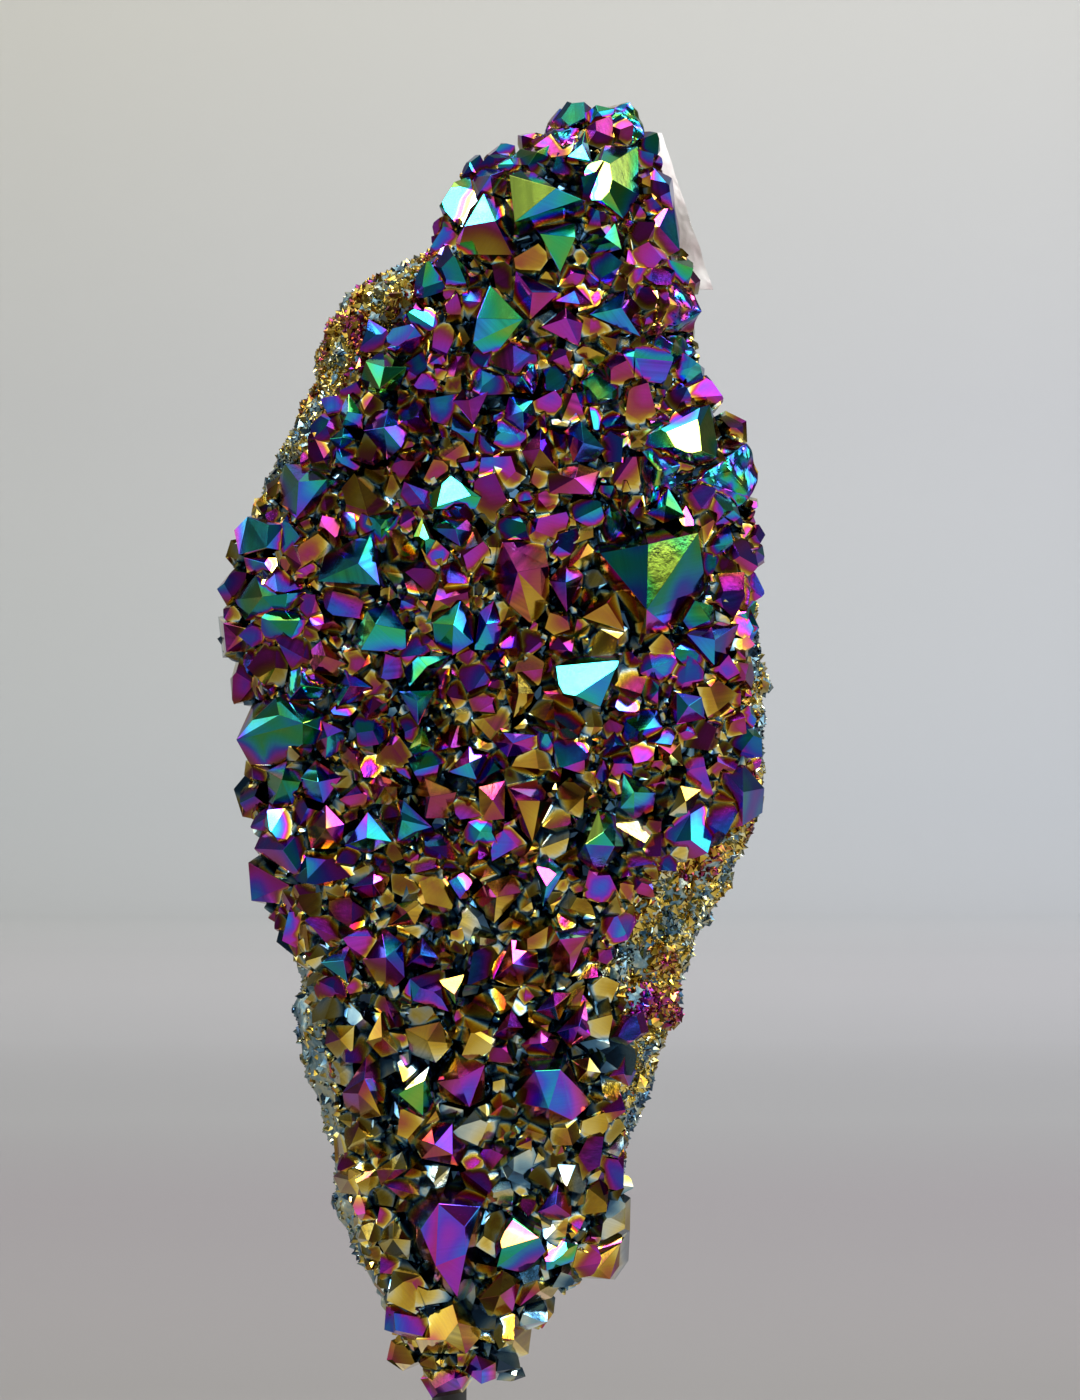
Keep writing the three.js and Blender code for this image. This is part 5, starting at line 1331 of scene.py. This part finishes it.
def add_film(graph, thickness, streak):
    """The coat on a material, from its thickness and streak there."""
    film = graph.nodes.new("ShaderNodeGroup")
    film.node_tree = FILM
    graph.links.new(thickness, film.inputs["Thickness"])
    graph.links.new(streak, film.inputs["Streak"])
    return film.outputs


def add_noise(graph, scale, detail, roughness=0.5):
    """Noise fixed to the object."""
    place = graph.nodes.new("ShaderNodeTexCoord")
    speckle = graph.nodes.new("ShaderNodeTexNoise")
    speckle.inputs["Scale"].default_value = scale
    speckle.inputs["Detail"].default_value = detail
    speckle.inputs["Roughness"].default_value = roughness
    graph.links.new(place.outputs["Object"], speckle.inputs["Vector"])
    return speckle.outputs[0]


def add_bump(graph, shader, height, strength, depth):
    """Roughens a material by a height, which stands for this depth in mm."""
    bump = graph.nodes.new("ShaderNodeBump")
    bump.inputs["Strength"].default_value = strength
    bump.inputs["Distance"].default_value = depth * MM
    graph.links.new(height, bump.inputs["Height"])
    graph.links.new(bump.outputs["Normal"], shader.inputs["Normal"])


# The crystals: the film over bright metal, on faces that are a little etched and wavy.
FILM = film_group()
crystal_coat, graph, shader = plain_material("coated_crystal", (0.5, 0.3, 0.4), 0.15, 1.0)
shader.inputs["Coat Weight"].default_value = 0.3
shader.inputs["Coat Roughness"].default_value = 0.04
film_map = graph.nodes.new("ShaderNodeUVMap")
film_map.uv_map = FILM_MAP
parts = graph.nodes.new("ShaderNodeSeparateXYZ")
graph.links.new(film_map.outputs["UV"], parts.inputs[0])
film = add_film(graph, parts.outputs["X"], parts.outputs["Y"])
graph.links.new(film["Color"], shader.inputs["Base Color"])
graph.links.new(film["Roughness"], shader.inputs["Roughness"])
add_bump(graph, shader, add_noise(graph, 420, 4, 0.6), 0.35, 0.07)

all_corners, all_faces = all_of([rock, big_crystals, mid_crystals, small_crystals])
pieces_tree = BVHTree.FromPolygons([tuple(p) for p in all_corners], all_faces)

BIG_FILM, BIG_RIGHT, BIG_UP = np.array([row[:3] for row in BIG_CRYSTALS]).T
# How thick the film is on the smaller crystals' tips, up the cluster.
FILM_HEIGHTS = [0, 60, 95, 115, 190, 215, 256]
FILM_THERE = [0.27, 0.31, 0.36, 0.47, 0.53, 0.57, 0.64]
MID_SPREAD, SMALL_SPREAD = 0.40, 0.36
SMALL_RIGHT, SMALL_UP = 0.02, 0.05


def big_change(crystal, normals):
    return BIG_RIGHT[crystal] * normals[:, 0] + BIG_UP[crystal] * normals[:, 2]


def small_change(crystal, normals):
    return SMALL_UP * normals[:, 2] + SMALL_RIGHT * normals[:, 0]


def film_by_height(places, salt, spread):
    """The vapour came from above: the film thins towards the foot of the cluster."""
    heights = places[:, 2]
    usual = np.interp(heights, FILM_HEIGHTS, FILM_THERE)
    return usual + spread * (hashed(np.arange(len(heights)), salt) - 0.5)


envelope = envelope_of(from_scene(points_of(big_crystals.data)))
is_rippled = np.array([row[4][0] in RIPPLED for row in BIG_CRYSTALS], float)
coat(big_crystals, BIG_FILM, big_change, exposure_and_shade_of(big_crystals.data), is_rippled)
coat(mid_crystals, film_by_height(mid_places, 3.3, MID_SPREAD), small_change,
     exposure_and_shade_of(mid_crystals.data))
coat(small_crystals, film_by_height(small_places, 4.4, SMALL_SPREAD), small_change,
     exposure_and_shade_of(small_crystals.data))

# The sugar's film: in front, changing in clouds, flecks and over the crust's lumps, and where the rock
# turns away, from this far before its rim.
SUGAR_FILM, LUMP_CHANGE = 0.22, 0.30
CLOUD_SCALE, CLOUD_CHANGE = 0.11, 0.26
FLECK_SCALE, FLECK_CHANGE = 0.45, 0.14
AWAY_FILM, AWAY_FLECK_CHANGE = 0.09, 0.06
AWAY_BEFORE, AWAY_OVER = 5, 8
LEAST_SUGAR_FILM, GRAIN_CHANGE = 0.05, 0.10
# Where it is pink, as x and z, how wide and how tall, and how much thicker it is there.
PINK_PATCHES = [(31, 79, 6, 9), (37, 105, 5, 6), (-30, 212, 9, 12)]
PINK_CHANGE = 0.24
GRAIN_TIP_OPEN, GRAIN_FOOT_OPEN = 0.95, 0.6


def sugar_film(places):
    """Gold with pink and plum patches in front, thinning to steel where the rock turns away."""
    rim = station_at(places[:, 2])[4]
    turned_away = np.clip((places[:, 1] - rim + AWAY_BEFORE) / AWAY_OVER, 0, 1)
    clouds = np.array([noise.noise(Vector(place) * CLOUD_SCALE) for place in places])
    flecks = np.array([noise.noise(Vector(place) * FLECK_SCALE) for place in places])
    pink = sum(np.exp(-((places[:, 0] - x) / wide) ** 2 - ((places[:, 2] - z) / tall) ** 2)
               for x, z, wide, tall in PINK_PATCHES)
    lumps = np.array([crust_lump(place) for place in places])
    in_front = (SUGAR_FILM + CLOUD_CHANGE * clouds + FLECK_CHANGE * flecks + PINK_CHANGE * pink
                + LUMP_CHANGE * lumps)
    behind = AWAY_FILM + AWAY_FLECK_CHANGE * flecks
    film = np.maximum(in_front * (1 - turned_away) + behind * turned_away, LEAST_SUGAR_FILM)
    return film + GRAIN_CHANGE * (hashed(np.arange(len(places)), 8.8) - 0.5)


grain_places = from_scene(points_of(sugar.data)).reshape(-1, len(GRAIN_SHAPE), 3).mean(1)
grain_open = np.where(GRAIN_SHAPE[:, 2] > 0.5, GRAIN_TIP_OPEN, GRAIN_FOOT_OPEN)
coat(sugar, sugar_film(grain_places), small_change, np.tile(grain_open, len(grain_places)))

for piece in (big_crystals, mid_crystals, small_crystals, sugar):
    piece.data.materials.append(crystal_coat)
    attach(piece, "root")
    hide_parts("crystal_cluster")

# The rock's coat is thin and patchy: dark blue steel with gold and a little plum. Under the crystals it is
# thinned to near black, painted shade between them.
rock_coat, graph, shader = plain_material("coated_rock", (0.1, 0.14, 0.18), 0.4, 0.85)
specks = add_noise(graph, 900, 3)
thickness = add_range(graph, add_noise(graph, 55, 6, 0.62), (0.35, 0.72), (-0.03, 0.10))
uneven = add_sum(graph, "MULTIPLY_ADD", specks, 0.12, thickness)
under_shade_map = graph.nodes.new("ShaderNodeAttribute")
under_shade_map.attribute_name = "under_crystals"
shade_under_crystals = add_range(graph, under_shade_map.outputs["Fac"], (0, 1), (1.0, 0.08))
film = add_film(graph, add_sum(graph, "MULTIPLY", uneven, shade_under_crystals), specks)
graph.links.new(film["Color"], shader.inputs["Base Color"])
add_bump(graph, shader, specks, 0.6, 0.3)
rock.data.materials.append(rock_coat)
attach(rock, "root")
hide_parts("crystal_cluster")


# ---- The post: a bar of black painted steel, set in the foot plate and glued up into the rock.
post_low, post_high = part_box("stand_post")
POST_RADIUS = (post_high.x - post_low.x) / 2
POST_SIDES = 64
POST_EDGE = 0.5
STEEL_SMOOTH = math.radians(35)
bpy.ops.object.select_all(action="DESELECT")
bpy.ops.mesh.primitive_cylinder_add(
    vertices=POST_SIDES, radius=POST_RADIUS, depth=post_high.z - post_low.z,
    location=((post_low.x + post_high.x) / 2, 0, (post_low.z + post_high.z) / 2))
post = bpy.context.active_object
post.name = "post"
bpy.ops.object.transform_apply(location=True, rotation=False, scale=False)
rounded = post.modifiers.new("ends", "BEVEL")
rounded.width = POST_EDGE * MM
rounded.segments = 3
rounded.limit_method = "ANGLE"
bpy.ops.object.modifier_apply(modifier="ends")
bpy.ops.object.shade_smooth_by_angle(angle=STEEL_SMOOTH)

# The paint is matt, with a fine orange peel, a little unevenly worn.
paint, graph, shader = plain_material("matt_black_paint", (0.012, 0.012, 0.014), 0.5)
wear = add_noise(graph, 60, 5)
tone = add_ramp(graph, wear, [(0.35, (0.005, 0.005, 0.006)), (0.75, (0.014, 0.0135, 0.0135))])
graph.links.new(tone, shader.inputs["Base Color"])
graph.links.new(add_range(graph, wear, (0, 1), (0.42, 0.62)), shader.inputs["Roughness"])
add_bump(graph, shader, add_noise(graph, 1100, 2), 0.25, 0.1)
post.data.materials.append(paint)
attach(post, "root")
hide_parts("stand_post")


# ---- The foot plate: thick steel with rounded corners and a softened edge, painted like the post,
# which stands in a socket in it off its middle, under the cluster's weight.
plate_low, plate_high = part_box("stand_base")
PLATE_CORNER, PLATE_EDGE = 6, 0.8
PLATE_RIM = math.radians(40)
# The drill's depth, and the gap it leaves under the post.
DRILL_DEPTH, DRILL_GAP = 8, 0.3

bpy.ops.object.select_all(action="DESELECT")
bpy.ops.mesh.primitive_cube_add(size=1, location=(plate_low + plate_high) / 2, scale=plate_high - plate_low)
foot_plate = bpy.context.active_object
foot_plate.name = "foot_plate"
bpy.ops.object.transform_apply(location=True, rotation=True, scale=True)
bpy.ops.object.mode_set(mode="EDIT")
bpy.ops.mesh.select_all(action="DESELECT")
block = bmesh.from_edit_mesh(foot_plate.data)
for edge in block.edges:
    edge.select = abs(edge.verts[0].co.z - edge.verts[1].co.z) > 1 * MM
bmesh.update_edit_mesh(foot_plate.data)
bpy.ops.mesh.bevel(offset=PLATE_CORNER * MM, segments=10)
bpy.ops.object.mode_set(mode="OBJECT")
select_only(foot_plate)
drill_z = post_low.z - DRILL_GAP * MM + DRILL_DEPTH / 2 * MM
bpy.ops.mesh.primitive_cylinder_add(vertices=POST_SIDES, radius=SOCKET_RADIUS * MM,
                                    depth=DRILL_DEPTH * MM, location=(POST_X * MM, 0, drill_z))
drill = bpy.context.active_object
bpy.ops.object.transform_apply(location=True, rotation=False, scale=False)
select_only(foot_plate)
socket = foot_plate.modifiers.new("socket", "BOOLEAN")
socket.operation = "DIFFERENCE"
socket.object = drill
socket.solver = "EXACT"
bpy.ops.object.modifier_apply(modifier="socket")
bpy.data.objects.remove(drill)
edges = foot_plate.modifiers.new("edges", "BEVEL")
edges.width = PLATE_EDGE * MM
edges.segments = 3
edges.limit_method = "ANGLE"
edges.angle_limit = PLATE_RIM
bpy.ops.object.modifier_apply(modifier="edges")
bpy.ops.object.shade_smooth_by_angle(angle=STEEL_SMOOTH)
foot_plate.data.materials.append(paint)
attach(foot_plate, "root")
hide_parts("stand_base")


# ---- The price label: a slip of paper stuck round the rock's back flank, creased and curled away
# from it along its outer edge. It is blank.
LABEL_TOP, LABEL_BOTTOM = 252.6, 221
LABEL_EDGE_TOP, LABEL_EDGE_BOTTOM = np.array([32, -4]), np.array([42.6, -1])
# Across it in columns: its two outer ones are loose, the others glued on at these angles round the rock.
LABEL_COLUMNS, LOOSE_COLUMNS = 5, 2
LABEL_GLUED = np.array([0.5, 0.75, 1.0, 1.25])
# Its loose edge waves up its height. It stands off the rock's smooth shape, and is all moved right and
# back to clear the lumps on it.
LABEL_KINK, LABEL_WAVES = 0.8, 1.5
LABEL_LIFT = 0.8
LABEL_CLEAR = np.array([0.6, 2.03, 0])
GLUED_CREASE, LOOSE_CREASE, EDGE_CREASE = 0.10, 0.35, 0.25
LABEL_THICK = 0.22
LABEL_FINE = (70, 84)
LABEL_SMOOTH = math.radians(40)

bpy.ops.object.select_all(action="DESELECT")
bpy.ops.mesh.primitive_grid_add(x_subdivisions=LABEL_FINE[0], y_subdivisions=LABEL_FINE[1], size=1)
label = bpy.context.active_object
label.name = "label"
flat = points_of(label.data)
column = (flat[:, 0] + 0.5) * LABEL_COLUMNS
share = flat[:, 1] + 0.5
height = LABEL_BOTTOM + (LABEL_TOP - LABEL_BOTTOM) * share
angle = np.interp(column - LOOSE_COLUMNS, np.arange(len(LABEL_GLUED)), LABEL_GLUED)
glued = rock_point(angle, height)
glued[:, 0] += LABEL_LIFT * np.cos(angle)
glued[:, 1] += LABEL_LIFT * np.sin(angle)
start = rock_point(np.full_like(angle, LABEL_GLUED[0]), height) + (LABEL_LIFT, LABEL_LIFT, 0)
edge_place = LABEL_EDGE_BOTTOM + (LABEL_EDGE_TOP - LABEL_EDGE_BOTTOM) * share[:, None]
kink = LABEL_KINK * np.sin(share * LABEL_WAVES * 2 * math.pi)
edge_place = np.stack([edge_place[:, 0], edge_place[:, 1] + LABEL_LIFT + kink, height], 1)
loose = np.clip(1 - column / LOOSE_COLUMNS, 0, 1)[:, None]
is_loose = column[:, None] < LOOSE_COLUMNS
sheet_place = np.where(is_loose, start + (edge_place - start) * loose, glued) + LABEL_CLEAR
folds = np.array([noise.noise(Vector((c * 0.9, h * 0.16, 2))) for c, h in zip(column, height)])
wrinkles = np.array([noise.noise(Vector((c * 2.1, h * 0.5, 9))) for c, h in zip(column, height)])
edge_folds = np.array([noise.noise(Vector((5, h * 0.22, 1))) for h in height])
creases = folds + 0.5 * np.abs(wrinkles)
sheet_place[:, 1] += (GLUED_CREASE + LOOSE_CREASE * loose[:, 0]) * creases
sheet_place[:, 0] += EDGE_CREASE * loose[:, 0] * edge_folds
label.data.vertices.foreach_set("co", to_scene(sheet_place).ravel())
thickness = label.modifiers.new("thickness", "SOLIDIFY")
thickness.thickness = LABEL_THICK * MM
thickness.offset = 0
bpy.ops.object.modifier_apply(modifier="thickness")
bpy.ops.object.mode_set(mode="EDIT")
bpy.ops.mesh.select_all(action="SELECT")
bpy.ops.mesh.normals_make_consistent(inside=False)
bpy.ops.object.mode_set(mode="OBJECT")
bpy.ops.object.shade_smooth_by_angle(angle=LABEL_SMOOTH)

paper, graph, shader = plain_material("label_paper", (0.75, 0.7, 0.68), 0.75)
stained = add_ramp(graph, add_noise(graph, 130, 4), [(0.34, (0.58, 0.49, 0.48)), (0.60, (0.80, 0.76, 0.73))])
graph.links.new(stained, shader.inputs["Base Color"])
add_bump(graph, shader, add_noise(graph, 2600, 3), 0.35, 0.05)
label.data.materials.append(paper)
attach(label, "root")
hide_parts("price_label")


# ---- Sizes of what is shown, leaving out the backdrop.
low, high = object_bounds()
